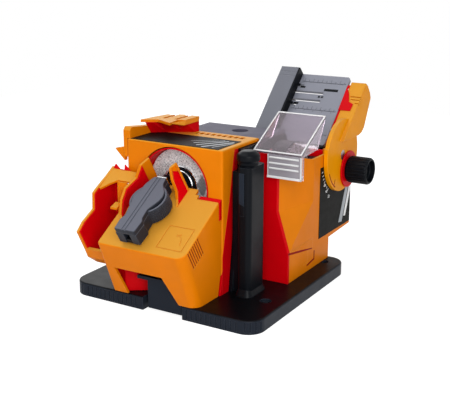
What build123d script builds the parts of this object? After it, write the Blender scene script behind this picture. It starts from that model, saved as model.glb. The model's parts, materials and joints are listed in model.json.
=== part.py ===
"""Tabletop multi-purpose sharpener: drill bits at the front left, knives on the left,
chisels and plane irons on the right, one motor for both abrasive wheels.

Millimetres. X runs right along the front edge, Y runs back, Z runs up; the origin is the
centre of the base's underside.
"""
from build123d import *
import math
import os

os.makedirs("parts", exist_ok=True)

# ------------------------------------------------------------------ driving dimensions
WALL = 3.0            # moulded housing wall
GAP = 0.4             # air between separate bodies that never touch
RUN = 0.05            # radial running clearance of a shaft or pivot
SKIN = 0.4            # printed label foil

BASE_W, BASE_D, BASE_T, BASE_R = 198.0, 188.0, 12.5, 16.0
BOLT_X, BOLT_Y0, BOLT_Y1 = 82.0, -45.0, 75.0      # bench screw pattern
BOLT_R = 2.6                                     # clears an M5 bench screw
PAD_R, PAD_T = 7.0, 2.5

GATE_X0, GATE_X1, GATE_Y = -17.0, 25.4, 36.0 - BASE_D / 2    # gap in the base's front rim
RAIL_X0, RAIL_X1 = -13.5, 22.5                   # block that stands in it
RAIL_Y0, RAIL_TOP = 3.5 - BASE_D / 2, 28.0
FLANGE_X0, FLANGE_X1, FLANGE_T = -25.0, 25.0, 3.0

BLK_X0, BLK_X1, BLK_Y0, BLK_TOP = -61.0, 42.0, -53.0, 145.5   # drill wheel housing
BLK_Y1 = 12.0

WHL_X, WHL_Z, WHL_R, WHL_T = -10.0, 105.5, 34.5, 9.0          # drill grinding wheel
WHL_FACE_Y = -40.0
HUB_R = 17.0
WELL_R = 37.5                                    # round opening in front of it

DRIVE_Y = 40.0                                   # motor axis (along X, height WHL_Z)
MITRE_R, MITRE_N = 13.0, 16                      # pitch radius and teeth of both gears
SHAFT_R = 4.0
CAN_X0, CAN_X1, CAN_R = 9.0, 40.0, 25.0

MOT_X0, MOT_X1, MOT_Y1, MOT_TOP = -40.0, 45.2, 70.0, 142.0    # black motor housing
MOT_Y0 = -25.4
COL_X0, COL_X1, COL_Y0, COL_Y1, COL_TOP = 52.5, 65.8, -46.5, -18.0, 131.0
CAP_X, CAP_Y, CAP_R, CAP_H = 57.0, -34.0, 10.3, 10.5
STORE_R, STORE_Z0 = 4.4, 60.0                    # bore in the column under the cap

HEAD_X0, HEAD_X1 = -50.0, 41.0                   # slide-on drill head
HEAD_SLOPE = 32.0                                # 58 deg to the wheel face: a 118 deg point
HEAD_Y0, HEAD_Z0, HEAD_FOOT_Y = -115.0, 64.2, -94.0
HEAD_WALL = 3.0

HOLD_X, HOLD_S = -14.0, 45.0                     # pivot of the drill holder on the head
HOLD_N0, HOLD_N1 = 3.0, 20.0
HOLD_TILT_R = 17.5
DRILL_N, DRILL_R = 11.5, 5.2                     # drill axis above the deck, bore radius
SHANK_R = 3.4                                    # channel under the tail for the shank of a long drill
COLLET_R = 3.0

MOD_X0, MOD_X1, MOD_Y0, MOD_Y1, MOD_TOP = 45.6, 80.0, 1.0, 141.0, 130.0   # chisel module
MOD_LOW_Y1, MOD_STEP_Z = 90.0, 34.0
MOD_WALL = 2.6
FRONT_T = 3.0                                    # red front of the module

CHW_R, CHW_X0, CHW_T = 30.0, 52.0, 14.0          # chisel grinding wheel

ARM_Y, ARM_Z, ARM_R = 107.6, 115.7, 36.2         # tilt axis of the table arm
ARM_X0, ARM_X1 = 80.8, 84.8
PIVOT_R = 5.0
KNOB_Y, KNOB_Z, KNOB_R = 120.0, 99.3, 13.6
KNOB_X0, KNOB_X1 = 86.8, 110.0

TAB_X0, TAB_X1, TAB_Y, TAB_Z = -2.0, 70.0, 94.4, 126.1
TAB_SLOPE, TAB_LEN, TAB_T = 45.0, 85.0, 3.5
SLOT_S = (52.0, 62.0)                            # fence slots up the table
SLOT_X0, SLOT_X1, SLOT_W = -0.5, 47.0, 3.2
FENCE_X0, FENCE_X1, FENCE_LEN, FENCE_H = -5.8, 16.0, 85.0, 11.0
FENCE_TRAVEL = 34.0

GUARD_X0, GUARD_X1, GUARD_T = 46.0, 94.5, 1.8
GUARD_BOX_X0, GUARD_Y0, GUARD_Z0, GUARD_Z1 = 61.0, -6.0, 114.5, 138.0
GUARD_BACK_Y, GUARD_BACK_Z = 42.6, 166.0
HINGE_Y, HINGE_Z, HINGE_R = -1.3, 117.0, 1.25

SW_X, SW_Z, SW_W, SW_H = 2.0, 70.0, 14.0, 22.0   # rocker switch on the motor housing's back


# ------------------------------------------------------------------ small helpers
def box(x0, x1, y0, y1, z0, z1):
    """Axis-aligned box between two corners."""
    return Pos((x0 + x1) / 2, (y0 + y1) / 2, (z0 + z1) / 2) * Box(x1 - x0, y1 - y0, z1 - z0)


def prism_x(pts, x0, x1):
    """Extrude a (y, z) outline from x0 to x1."""
    return extrude(Plane.YZ.offset(x0) * Polygon(*pts, align=None), x1 - x0, dir=(1, 0, 0))


def prism_y(pts, y0, y1):
    """Extrude an (x, z) outline from y0 to y1."""
    return extrude(Plane.XZ.offset(-y0) * Polygon(*pts, align=None), y1 - y0, dir=(0, 1, 0))


def prism_z(pts, z0, z1):
    """Extrude an (x, y) outline from z0 to z1."""
    return extrude(Plane.XY.offset(z0) * Polygon(*pts, align=None), z1 - z0, dir=(0, 0, 1))


def rod_x(y, z, r, x0, x1):
    return Pos((x0 + x1) / 2, y, z) * Rot(0, 90, 0) * Cylinder(r, x1 - x0)


def rod_y(x, z, r, y0, y1):
    return Pos(x, (y0 + y1) / 2, z) * Rot(90, 0, 0) * Cylinder(r, y1 - y0)


def rod_z(x, y, r, z0, z1):
    return Pos(x, y, (z0 + z1) / 2) * Cylinder(r, z1 - z0)


def sloped(y, z, deg):
    """Plane whose local Y climbs backwards at deg and whose local Z is its normal."""
    a = math.radians(deg)
    return Plane(origin=(0, y, z), x_dir=(1, 0, 0), z_dir=(0, -math.sin(a), math.cos(a)))


def soft(shape, edges, *sizes):
    """Fillet the edges with the first size that the shape takes."""
    for size in sizes:
        try:
            return fillet(edges, size)
        except Exception:
            continue
    return shape


def group(name, *shapes):
    """Write one node; several separate solids go in as one compound."""
    solids = []
    for s in shapes:
        solids += list(s.solids())
    node = solids[0] if len(solids) == 1 else Compound(children=solids)
    node.label = name
    export_step(node, "parts/%s.step" % name)
    return node


HEAD = sloped(HEAD_Y0, HEAD_Z0, HEAD_SLOPE).location
TABLE = sloped(TAB_Y, TAB_Z, TAB_SLOPE).location
TAN = math.tan(math.radians(HEAD_SLOPE))


def deck_z(y):
    """Height of the head's sloping deck at a given depth."""
    return HEAD_Z0 + (y - HEAD_Y0) * TAN


# ------------------------------------------------------------------ base
def base_plate():
    body = extrude(RectangleRounded(BASE_W, BASE_D, BASE_R), BASE_T)
    body = soft(body, body.faces().sort_by(Axis.Z)[-1].edges(), 1.5, 1.0)
    pocket = extrude(RectangleRounded(BASE_W - 10, BASE_D - 10, BASE_R - 5), BASE_T - 3.5)
    ribs = [rod_z(0, 0, PAD_R + 0.5, 0, BASE_T)]
    ribs += [box(x - 1, x + 1, -BASE_D / 2 + 4, BASE_D / 2 - 4, 0, BASE_T - 3) for x in (-40, 40)]
    body -= pocket
    for r in ribs:
        body += r
    for x in (-BOLT_X, BOLT_X):
        for y in (BOLT_Y0, BOLT_Y1):
            body += rod_z(x, y, 7.5, 0, BASE_T)
    for x, y in PADS:
        body += rod_z(x, y, PAD_R + 2.5, 0, BASE_T - 3)
    body += box(GATE_X0 - 4, GATE_X1 + 4, -BASE_D / 2 + 1.2, GATE_Y + 4, 0, BASE_T - 2)
    body -= box(GATE_X0, GATE_X1, -BASE_D / 2 - 1, GATE_Y, -1, BASE_T + 1)
    for x in (-BOLT_X, BOLT_X):
        for y in (BOLT_Y0, BOLT_Y1):
            body -= rod_z(x, y, BOLT_R, -1, BASE_T + 1)
            body -= rod_z(x, y, 5.2, BASE_T - 2.5, BASE_T + 1)
    for x, y in PADS:
        body -= rod_z(x, y, PAD_R, -1, PAD_T)
    # gripping flutes round the front edge
    flute = []
    n = int((BASE_W / 2 - BASE_R) / 5)
    for i in range(-n, n + 1):
        x = i * 5.0
        if GATE_X0 - 4 < x < GATE_X1 + 4:
            continue
        flute.append(box(x - 0.9, x + 0.9, -BASE_D / 2 - 1, -BASE_D / 2 + 0.9, 1.5, BASE_T - 1.8))
    for side in (-1, 1):
        cx, cy = side * (BASE_W / 2 - BASE_R), -BASE_D / 2 + BASE_R
        for k in range(1, 5):
            a = math.radians(18 * k)
            loc = Pos(cx + side * BASE_R * math.sin(a), cy - BASE_R * math.cos(a), BASE_T / 2)
            flute.append(loc * Rot(0, 0, side * 18 * k) * Box(1.8, 1.8, BASE_T - 3.3))
    return body - flute


PADS = [(-80, -76), (80, -76), (-58, 82), (58, 82)]


def base_pads():
    return [rod_z(x, y, PAD_R, 0, PAD_T) for x, y in PADS]


def front_rail():
    """Block in the front gap with a wide top flange that the drill head straddles."""
    block = box(RAIL_X0, RAIL_X1, RAIL_Y0, GATE_Y - 0.3, 2, RAIL_TOP)
    block += box(RAIL_X0, RAIL_X1, GATE_Y - 1, BLK_Y0 - 0.3, BASE_T, RAIL_TOP)
    block += box(FLANGE_X0, FLANGE_X1, RAIL_Y0, BLK_Y0 - 0.3, RAIL_TOP, RAIL_TOP + FLANGE_T)
    block -= box(RAIL_X0 + 2.5, RAIL_X1 - 2.5, RAIL_Y0 + 2.5, GATE_Y - 3, 0, RAIL_TOP - 2.5)
    return block


# ------------------------------------------------------------------ drill wheel housing
def seam(z):
    """Depth of the slanting joint between the orange shell and its red back, at a height."""
    return -56.6 + (z - BASE_T) * (24.6 / 124.5)


BAND = 14.5                                      # width of the red back at its foot


def band_back(z):
    return seam(z) + BAND - (z - BASE_T) * 0.0653


def side_outline(front, back, z0, z1):
    """Outline on the right wall between two slanting lines."""
    return [(front(z0), z0), (front(z1), z1), (back(z1), z1), (back(z0), z0)]


def drill_housing():
    body = box(BLK_X0, BLK_X1, BLK_Y0, BLK_Y1, BASE_T, BLK_TOP)
    edges = body.edges().filter_by(Axis.Z).group_by(Axis.Y)[0]
    body = soft(body, edges, 2.0)
    body = soft(body, body.faces().sort_by(Axis.Z)[-1].edges(), 1.5, 1.0)
    body -= box(BLK_X0 + WALL, BLK_X1 - WALL, BLK_Y0 + WALL, BLK_Y1 + 1, BASE_T - 1, BLK_TOP - WALL)
    # the right wall stops at the slanting seam; the red back fills in behind it
    rear = [(seam(BASE_T - 1), BASE_T - 1), (seam(BLK_TOP - WALL), BLK_TOP - WALL),
            (BLK_Y1 + 1, BLK_TOP - WALL), (BLK_Y1 + 1, BASE_T - 1)]
    body -= prism_x(rear, BLK_X1 - WALL - 0.1, BLK_X1 + 1)
    # round mouth in front of the wheel
    body -= rod_y(WHL_X, WHL_Z, WELL_R, BLK_Y0 - 1, BLK_Y0 + WALL + 1)
    # cooling slots along the back of the top
    for i in range(9):
        x = -22 + i * 6.2
        body -= box(x, x + 4.2, BLK_Y1 - 13.5, BLK_Y1 - 6, BLK_TOP - WALL - 1, BLK_TOP + 1)
    return body


def drill_housing_back():
    """Red band that closes the right side behind the seam."""
    z1 = BLK_TOP - WALL
    body = prism_x(side_outline(seam, band_back, BASE_T, z1), BLK_X1 - WALL, BLK_X1 - 0.2)
    # inner flange that laps behind the orange wall
    y_in = BLK_Y0 + WALL + 0.4
    body += prism_x([(y_in, BASE_T), (y_in, 30), (seam(60) + 2, 60), (seam(z1) + 2, z1),
                     (band_back(z1), z1), (band_back(BASE_T), BASE_T)], BLK_X1 - WALL - 1.6, BLK_X1 - WALL)
    return body & box(0, BLK_X1, BLK_Y0 - 8, MOT_Y0 - 0.1, BASE_T, z1)


def wheel_well():
    """Red cup round the drill wheel: tube from the mouth back to a disc with a shaft hole."""
    back_y = WHL_FACE_Y + WHL_T + 3
    r = WELL_R - 1.0
    body = rod_y(WHL_X, WHL_Z, r, BLK_Y0 + 1.2, back_y + 2.0)
    body -= rod_y(WHL_X, WHL_Z, r - 1.4, BLK_Y0, back_y)
    body -= rod_y(WHL_X, WHL_Z, 9.0, BLK_Y0, back_y + 3)
    return body


def joint_lip():
    """Red L-shaped lip seen in the joint between the drill head and the housing."""
    y0, y1 = HEAD_BACK_Y + 0.5, BLK_Y0 - 0.1
    side = box(HEAD_X1 - 2.6, HEAD_X1 + 0.4, y0, y1, 83.5, deck_z(y0) - 1)
    top = prism_x([(y0, deck_z(y0) - 4), (y0, deck_z(y0) - 1), (y1, deck_z(y1) - 1), (y1, deck_z(y1) - 4)],
                  19.5, HEAD_X1 + 0.4)
    return side + top


HEAD_BACK_Y = -57.5


def top_label():
    return prism_z([(-57, -52), (37, -52), (37, -12), (-45.8, -12), (-57, -21)], BLK_TOP, BLK_TOP + SKIN)


# ------------------------------------------------------------------ knife station
KG_X0, KG_X1, KG_Y0, KG_Y1, KG_Z = -60.0, -23.0, -6.0, 11.0, 157.0


def knife_station():
    """Raised cheek along the housing's left edge with a small outward fin."""
    pts = [(-52.5, 128), (-52.5, 153), (-50, 156), (-15, 152), (-12, 149), (-12, 128)]
    body = prism_x(pts, BLK_X0 - 4.0, BLK_X0)
    body = body + prism_x([(-52.5, BLK_TOP), (-52.5, 153), (-50, 156), (-15, 152), (-12, 149), (-12, BLK_TOP)],
                          BLK_X0, BLK_X0 + 3.6)
    fin = prism_y([(BLK_X0 - 15, 134.5), (BLK_X0 - 4, 137), (BLK_X0 - 4, 124)], -51.5, -47.5)
    return body + fin


def knife_guide_body():
    """Red body under the guide plate with two V slots running front to back."""
    foot = Polygon((-57.2, -20), (-36, -3), (KG_X1, 4), (KG_X1, KG_Y1), (-57.2, KG_Y1), align=None)
    brow = Polygon((-57.2, -29), (-34, -19), (-24, -11), (KG_X1, KG_Y1), (-57.2, KG_Y1), align=None)
    body = loft([Plane.XY.offset(BLK_TOP) * foot, Plane.XY.offset(KG_Z) * brow], ruled=True)
    for x in KNIFE_X:
        body -= prism_y([(x - 4.0, KG_Z + 1), (x + 4.0, KG_Z + 1), (x + 0.7, BLK_TOP + 4), (x - 0.7, BLK_TOP + 4)],
                        -32, KG_Y1 + 1)
        body -= rod_y(x - 2.6, BLK_TOP + 5.0, 1.6, KG_Y0 + 3, KG_Y1 + 1)
        body -= rod_y(x + 2.6, BLK_TOP + 5.0, 1.6, KG_Y0 + 3, KG_Y1 + 1)
    return body


KNIFE_X = (-46.0, -33.0)


def knife_guide():
    """Orange plate with pointed cut-outs that centre the blade over the slots."""
    pts = [(-61, -31), (-47, -22), (-28, -31), (-30, -14), (-23, -12), (-23, 11.5), (-33, 11.5), (-36, 7.5),
           (-39, 11.5), (-46, 9), (-49, 3.5), (-55, 5), (-59, -15)]
    body = prism_z(pts, KG_Z, KG_Z + 2.6)
    for x in KNIFE_X:
        body -= box(x - 1.6, x + 1.6, KG_Y0 - 8, KG_Y1 + 3, KG_Z - 1, KG_Z + 4)
    return body


def knife_hones():
    """Ceramic rods set in pairs at the foot of each V slot."""
    rods = []
    for x in KNIFE_X:
        for dx in (-2.6, 2.6):
            rods.append(rod_y(x + dx, BLK_TOP + 5.0, 1.6, KG_Y0 + 3, KG_Y1 - 0.4))
    return rods


# ------------------------------------------------------------------ motor housing and drive
def motor_housing():
    """Black housing behind both modules, with the column that stores the dressing stick."""
    front0, front1 = band_back(BASE_T) + 0.3, band_back(MOT_TOP) + 0.3
    shell = [(MOT_Y0, BASE_T), (MOT_Y0, MOT_TOP), (MOT_Y1 - 12, MOT_TOP), (MOT_Y1, MOT_TOP - 16), (MOT_Y1, BASE_T)]
    body = prism_x(shell, MOT_X0, MOT_X1)
    inner = [(MOT_Y0 + WALL, BASE_T - 1), (MOT_Y0 + WALL, MOT_TOP + 1), (MOT_Y1 - 14, MOT_TOP + 1),
             (MOT_Y1 - WALL, MOT_TOP - 18), (MOT_Y1 - WALL, BASE_T - 1)]
    body -= prism_x(inner, MOT_X0 + WALL, MOT_X1 - WALL)
    body += rod_y(WHL_X, WHL_Z, BEAR_R + 2.5, MOT_Y0, FRONT_BEAR_Y + 6)
    # cheek that closes the slot behind the red band, and the web out to the column
    body += prism_x([(front0, BASE_T), (front1, MOT_TOP), (MOT_Y0 + 1, MOT_TOP), (MOT_Y0 + 1, BASE_T)],
                    BLK_X1 + 0.3, MOT_X1)
    body += box(MOT_X1 - 1, COL_X0 + 3, -39, -27, BASE_T, COL_TOP - 6)
    cx, cy = (COL_X0 + COL_X1) / 2, (COL_Y0 + COL_Y1) / 2
    body += extrude(Plane.XY.offset(BASE_T) * Pos(cx, cy)
                    * RectangleRounded(COL_X1 - COL_X0, COL_Y1 - COL_Y0, 4.5), COL_TOP - BASE_T)
    body += extrude(Plane.XY.offset(BASE_T) * Pos(cx, cy)
                    * RectangleRounded(COL_X1 - COL_X0 + 4, COL_Y1 - COL_Y0 + 5, 6.0), 6, taper=22)
    body += rod_z(CAP_X, CAP_Y, NECK_R, COL_TOP - 1, COL_TOP + 8)
    body -= rod_z(CAP_X, CAP_Y, STORE_R, STORE_Z0, COL_TOP + 9)
    # frame round the panel on the column's front
    body -= box(COL_X0 + 2.0, COL_X0 + 2.6, COL_Y0 - 1, COL_Y0 + 0.7, 88, 126)
    body -= box(COL_X0 + 7.6, COL_X0 + 8.2, COL_Y0 - 1, COL_Y0 + 0.7, 88, 126)
    body -= box(COL_X0 + 2.0, COL_X0 + 8.2, COL_Y0 - 1, COL_Y0 + 0.7, 87.4, 88.2)
    # shaft, spindle, switch and cable holes
    body -= rod_x(DRIVE_Y, WHL_Z, 9.0, MOT_X1 - WALL - 1, MOT_X1 + 1)
    body -= rod_y(WHL_X, WHL_Z, BEAR_R, MOT_Y0 - 1, 0)
    body -= box(SW_X - SW_W / 2 - 1, SW_X + SW_W / 2 + 1, MOT_Y1 - WALL - 1, MOT_Y1 + 1,
                SW_Z - SW_H / 2 - 1, SW_Z + SW_H / 2 + 1)
    body -= rod_y(GLAND_X, GLAND_Z, 6.0, MOT_Y1 - WALL - 1, MOT_Y1 + 1)
    for i in range(6):
        body -= box(MOT_X0 - 1, MOT_X0 + WALL + 1, 22 + i * 7, 25.5 + i * 7, 60, 120)
    return body


NECK_R = 8.2
GLAND_X, GLAND_Z = -24.0, 32.0
BEAR_R = 9.0


def motor_top():
    """Lid over the motor housing behind the orange shell, with a finger hole."""
    y0 = BLK_Y1 + 0.3
    pts = [(y0, MOT_TOP + 0.1), (y0, MOT_TOP + 2.8), (MOT_Y1 - 13, MOT_TOP + 2.8), (MOT_Y1 - 12, MOT_TOP + 0.1)]
    body = prism_x(pts, MOT_X0, MOT_X1)
    edge = body.edges().filter_by(Axis.Z)
    body = soft(body, edge, 3.0) if len(edge) else body
    body += box(MOT_X0 + WALL + 0.2, MOT_X1 - WALL - 0.2, y0 + 1, y0 + 3, MOT_TOP - 4, MOT_TOP + 1)
    body -= rod_z(8, 36, 8.0, MOT_TOP - 1, MOT_TOP + 4)
    body += rod_z(8, 36, 9.5, MOT_TOP - 6, MOT_TOP + 0.2) - rod_z(8, 36, 8.0, MOT_TOP - 4.5, MOT_TOP + 4)
    return body


def motor_can():
    body = rod_x(DRIVE_Y, WHL_Z, CAN_R, CAN_X0, CAN_X1)
    body = soft(body, body.edges().filter_by(GeomType.CIRCLE), 2.0)
    body -= rod_x(DRIVE_Y, WHL_Z, SHAFT_R + RUN, CAN_X0 - 1, CAN_X1 + 1)
    return body


def motor_saddles():
    """Two ribs from the base that carry the motor can."""
    out = []
    for x in (12.0, 32.0):
        rib = prism_x([(DRIVE_Y - 22, BASE_T), (DRIVE_Y - 22, WHL_Z), (DRIVE_Y + 22, WHL_Z), (DRIVE_Y + 22, BASE_T)],
                      x, x + 5)
        out.append(rib - rod_x(DRIVE_Y, WHL_Z, CAN_R, x - 1, x + 6))
    return out


def bevel(points, near, far):
    """Bevel gear blank: a flat tooth outline drawn at distance far, shrunk to distance near."""
    k = near / far
    big = Plane.XY.offset(far) * Polygon(*points, align=None)
    small = Plane.XY.offset(near) * Polygon(*[(x * k, y * k) for x, y in points], align=None)
    return loft([small, big], ruled=True)


def tooth_outline(phase):
    """Closed outline of the gear at its large end."""
    pts = []
    pitch = 360.0 / MITRE_N
    for i in range(MITRE_N):
        for da, r in ((-0.26, MITRE_R - 1.6), (-0.12, MITRE_R + 0.8), (0.12, MITRE_R + 0.8), (0.26, MITRE_R - 1.6)):
            a = math.radians(phase + (i + da) * pitch)
            pts.append((r * math.cos(a), r * math.sin(a)))
    return pts


def motor_gear():
    """Mitre gear on the motor shaft; its apex is where the two shaft axes cross."""
    g = Pos(WHL_X, DRIVE_Y, WHL_Z) * Rot(0, 90, 0) * bevel(tooth_outline(-90), MITRE_R - 5, MITRE_R)
    hub = rod_x(DRIVE_Y, WHL_Z, 7.0, WHL_X + MITRE_R, WHL_X + MITRE_R + 4)
    return g + hub - rod_x(DRIVE_Y, WHL_Z, SHAFT_R, WHL_X - 1, WHL_X + MITRE_R + 6)


def spindle_gear():
    """Mate of the motor gear, on the drill wheel's spindle."""
    half = 180.0 / MITRE_N
    g = Pos(WHL_X, DRIVE_Y, WHL_Z) * Rot(90, 0, 0) * bevel(tooth_outline(half), MITRE_R - 5, MITRE_R)
    hub = rod_y(WHL_X, WHL_Z, 7.0, DRIVE_Y - MITRE_R - 4, DRIVE_Y - MITRE_R)
    return g + hub - rod_y(WHL_X, WHL_Z, SHAFT_R, DRIVE_Y - MITRE_R - 6, DRIVE_Y + 1)


def motor_shaft():
    body = rod_x(DRIVE_Y, WHL_Z, SHAFT_R, WHL_X + MITRE_R - 5.5, CHW_X0 + CHW_T + 5.5)
    return body


def spindle_shaft():
    return rod_y(WHL_X, WHL_Z, SHAFT_R, WHL_FACE_Y - 1.6, DRIVE_Y - MITRE_R + 5.5)


def spindle_bearings():
    """Plain bearings of the spindle: one in the housing's front wall, one in the bracket."""
    y0 = FRONT_BEAR_Y
    a = rod_y(WHL_X, WHL_Z, BEAR_R, y0, y0 + 6) - rod_y(WHL_X, WHL_Z, SHAFT_R + RUN, y0 - 1, y0 + 8)
    b = rod_y(WHL_X, WHL_Z, BEAR_R, 8, 15) - rod_y(WHL_X, WHL_Z, SHAFT_R + RUN, 7, 16)
    return [a, b]


FRONT_BEAR_Y = -25.4


def spindle_bracket():
    """Post behind the wheel that holds the spindle's rear bearing."""
    post = box(WHL_X - 13, WHL_X + 13, 8.5, 14.5, BASE_T, WHL_Z + 12)
    post -= rod_y(WHL_X, WHL_Z, BEAR_R, 0, 20)
    return post


def drill_wheel():
    y1 = WHL_FACE_Y + WHL_T
    body = rod_y(WHL_X, WHL_Z, WHL_R, WHL_FACE_Y, y1)
    body = soft(body, body.edges().filter_by(GeomType.CIRCLE), 0.8)
    return body - rod_y(WHL_X, WHL_Z, HUB_R - 3, WHL_FACE_Y - 1, y1 + 1)


def wheel_hub():
    """Black flange that clamps the wheel to the spindle."""
    y1 = WHL_FACE_Y + WHL_T
    core = rod_y(WHL_X, WHL_Z, HUB_R - 3, WHL_FACE_Y, y1)
    front = rod_y(WHL_X, WHL_Z, HUB_R, WHL_FACE_Y - 1.4, WHL_FACE_Y)
    back = rod_y(WHL_X, WHL_Z, 12.0, y1, y1 + 1.6)
    return core + front + back - rod_y(WHL_X, WHL_Z, SHAFT_R, WHL_FACE_Y - 3, y1 + 3)


def hub_ring():
    """Bright ring pressed over the flange's rim."""
    y0 = WHL_FACE_Y - 1.6
    return rod_y(WHL_X, WHL_Z, HUB_R + 1.2, y0, WHL_FACE_Y) - rod_y(WHL_X, WHL_Z, HUB_R, y0 - 1, WHL_FACE_Y + 1)


def wheel_nut():
    y0 = WHL_FACE_Y - 5.4
    return extrude(Plane.XZ.offset(-y0) * Pos(WHL_X, WHL_Z) * RegularPolygon(7.0, 6), 3.8, dir=(0, 1, 0))


# ------------------------------------------------------------------ drill head
def head_outline(inset):
    """(y, z) outline of the head, or of the hollow inside it."""
    if not inset:
        return [(HEAD_FOOT_Y, BASE_T + 0.3), (HEAD_Y0, HEAD_Z0), (BLK_Y0 - GAP, deck_z(BLK_Y0 - GAP)),
                (BLK_Y0 - GAP, 40), (HEAD_SIDE_Y, BASE_T + 0.3)]
    t = HEAD_WALL
    drop = t / math.cos(math.radians(HEAD_SLOPE))
    y_front = HEAD_Y0 + t + 1.0
    return [(HEAD_FOOT_Y + t + 0.2, BASE_T - 1), (y_front, deck_z(y_front) - drop),
            (BLK_Y0 + 5, deck_z(BLK_Y0 + 5) - drop), (BLK_Y0 + 5, BASE_T - 1)]


HEAD_SIDE_Y = -59.0
VENTS = 7


def drill_head():
    body = prism_x(head_outline(False), HEAD_X0, HEAD_X1)
    front = [e for e in body.edges() if abs(e.center().X - HEAD_X1) < 0.01
             and e.center().Y < HEAD_FOOT_Y - 5 and e.length > 40]
    body = soft(body, front, 9.0, 6.0)
    front = [e for e in body.edges() if abs(e.center().X - HEAD_X0) < 0.01
             and e.center().Y < HEAD_FOOT_Y - 5 and e.length > 40]
    body = soft(body, front, 3.0, 2.0)
    lip = [e for e in body.edges() if abs(e.center().Z - HEAD_Z0) < 0.01 and e.length > 60]
    body = soft(body, lip, 1.5, 1.0)
    body -= prism_x(head_outline(True), HEAD_X0 + HEAD_WALL, HEAD_X1 - HEAD_WALL)
    # deck continues into the round mouth, below the wheel's face
    y0, y1 = BLK_Y0 - 2, -48.0
    body += prism_x([(y0, deck_z(y0)), (y1, deck_z(y1)), (y1, deck_z(y1) - 3), (y0, deck_z(y0) - 3)], -38, 14)
    # feet straddle the rail
    body -= prism_y([(-33, BASE_T - 1), (-39.4, 40), (12, 40), (22.6, BASE_T - 1)], -125, -80)
    # open joint along the back of the deck and down the right side
    body -= box(18, HEAD_X1 + 1, HEAD_BACK_Y, BLK_Y0 + 8, 83, 120)
    # slanting cooling slits
    for i in range(VENTS):
        t = (i + 0.5) / VENTS
        y, z = -108 + 17 * t, 67.2 + 10.6 * t
        body -= prism_x([(y - 0.62, z - 0.38), (y + 0.62, z + 0.38), (y + 10.6, z - 16.5), (y + 9.4, z - 17.3)],
                        HEAD_X1 - HEAD_WALL - 1, HEAD_X1 + 1)
    # engraved frame with a turning arrow on the deck
    frame = [box(9, 35, 8, 8.7, -0.5, 1), box(9, 35, 33.3, 34, -0.5, 1),
             box(9, 9.7, 8, 34, -0.5, 1), box(34.3, 35, 8, 34, -0.5, 1)]
    arrow = [Pos(20, 16, 0) * (extrude(CircularRing(9.0, 9.8), 1.5, both=True) & box(2, 12, 0, 12, -0.5, 1)),
             Pos(24, 24.8, 0.25) * Rot(0, 0, 30) * Box(5, 0.8, 1.5),
             Pos(20, 16, 0) * Pos(9.4, 0, 0.25) * Rot(0, 0, -70) * Box(4, 0.8, 1.5)]
    for f in frame + arrow:
        body -= HEAD * f
    # pivot post and wall sockets for the holder
    body += HEAD * rod_z(HOLD_X, HOLD_S, 6.0, -0.5, HOLD_N0 - 0.35)
    body -= HEAD * rod_z(HOLD_X, HOLD_S, 2.0, -4, 4)
    # cradle walls either side of the holder
    for wall in cradle_walls():
        body += wall
    return body


def CircularRing(r0, r1):
    return Circle(r1) - Circle(r0)


def ribbon(pts, t, n0, n1):
    """Wall of thickness t along a path in the deck's plane."""
    out = None
    for (xa, sa), (xb, sb) in zip(pts[:-1], pts[1:]):
        length = math.hypot(xb - xa, sb - sa)
        a = math.degrees(math.atan2(sb - sa, xb - xa))
        piece = Pos((xa + xb) / 2, (sa + sb) / 2, (n0 + n1) / 2) * Rot(0, 0, a) * Box(length, t, n1 - n0)
        out = piece if out is None else out + piece
    for x, s in pts[1:-1]:
        out += Pos(x, s, (n0 + n1) / 2) * Cylinder(t / 2, n1 - n0)
    return out


LEFT_WALL = [(-36.5, 26), (-43.5, 33), (-46, 43.6), (-46, 54.2), (-41.5, 67.4), (-37.5, 75), (-33.5, 84.4)]
RIGHT_WALL = [(4.3, 55.1), (2.0, 60.9), (0.0, 66.7), (-4.0, 71.2), (-7.5, 78.4)]
POST = [(-7.5, 78.4), (-4.5, 84.5)]               # tall post that ends the right wall
BACK_WALL = [(-4.5, 84.5), (5.5, 75.5)]           # rim that falls away behind it
LEFT_Y, RIGHT_Y = -44.0, -48.5                    # depth at which the walls stop before the wheel


def raised(pts, t, n0, sides):
    """Ribbon whose top follows straight lines of height over s: sides is (s, n) pairs."""
    tall = ribbon(pts, t, n0, 40)
    profile = [(sides[0][0], -5)] + list(sides) + [(sides[-1][0], -5)]
    return tall & prism_x(profile, -60, 60)


LEFT_TOP = [(24, 0.5), (26, 0.5), (32.6, 2.8), (43.6, 10.4), (54.2, 15.2), (67.4, 16.5), (75, 25.6), (88, 26.7)]
RIGHT_TOP = [(50, 0.6), (55, 0.6), (60.9, 3.2), (66.7, 9.6), (71.2, 16.8), (78.4, 24.0), (90, 25.0)]


def cradle_walls():
    left = raised(LEFT_WALL, 2.2, -1.0, LEFT_TOP)
    right = raised(RIGHT_WALL, 2.4, -1.0, RIGHT_TOP) + raised(POST, 2.0, -1.0, RIGHT_TOP)
    back = ribbon(BACK_WALL, 1.8, -1.0, 30)
    back &= prism_y([(-10, -2), (-10, 25.0), (-4.2, 25.0), (5.5, 0.5), (8, 0.5), (8, -2)], 60, 95)
    return [HEAD * left & before(LEFT_Y), HEAD * (right + back) & before(RIGHT_Y)]


def before(y):
    """All the space in front of a depth."""
    return box(-100, 100, -150, y, 0, 200)


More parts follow.
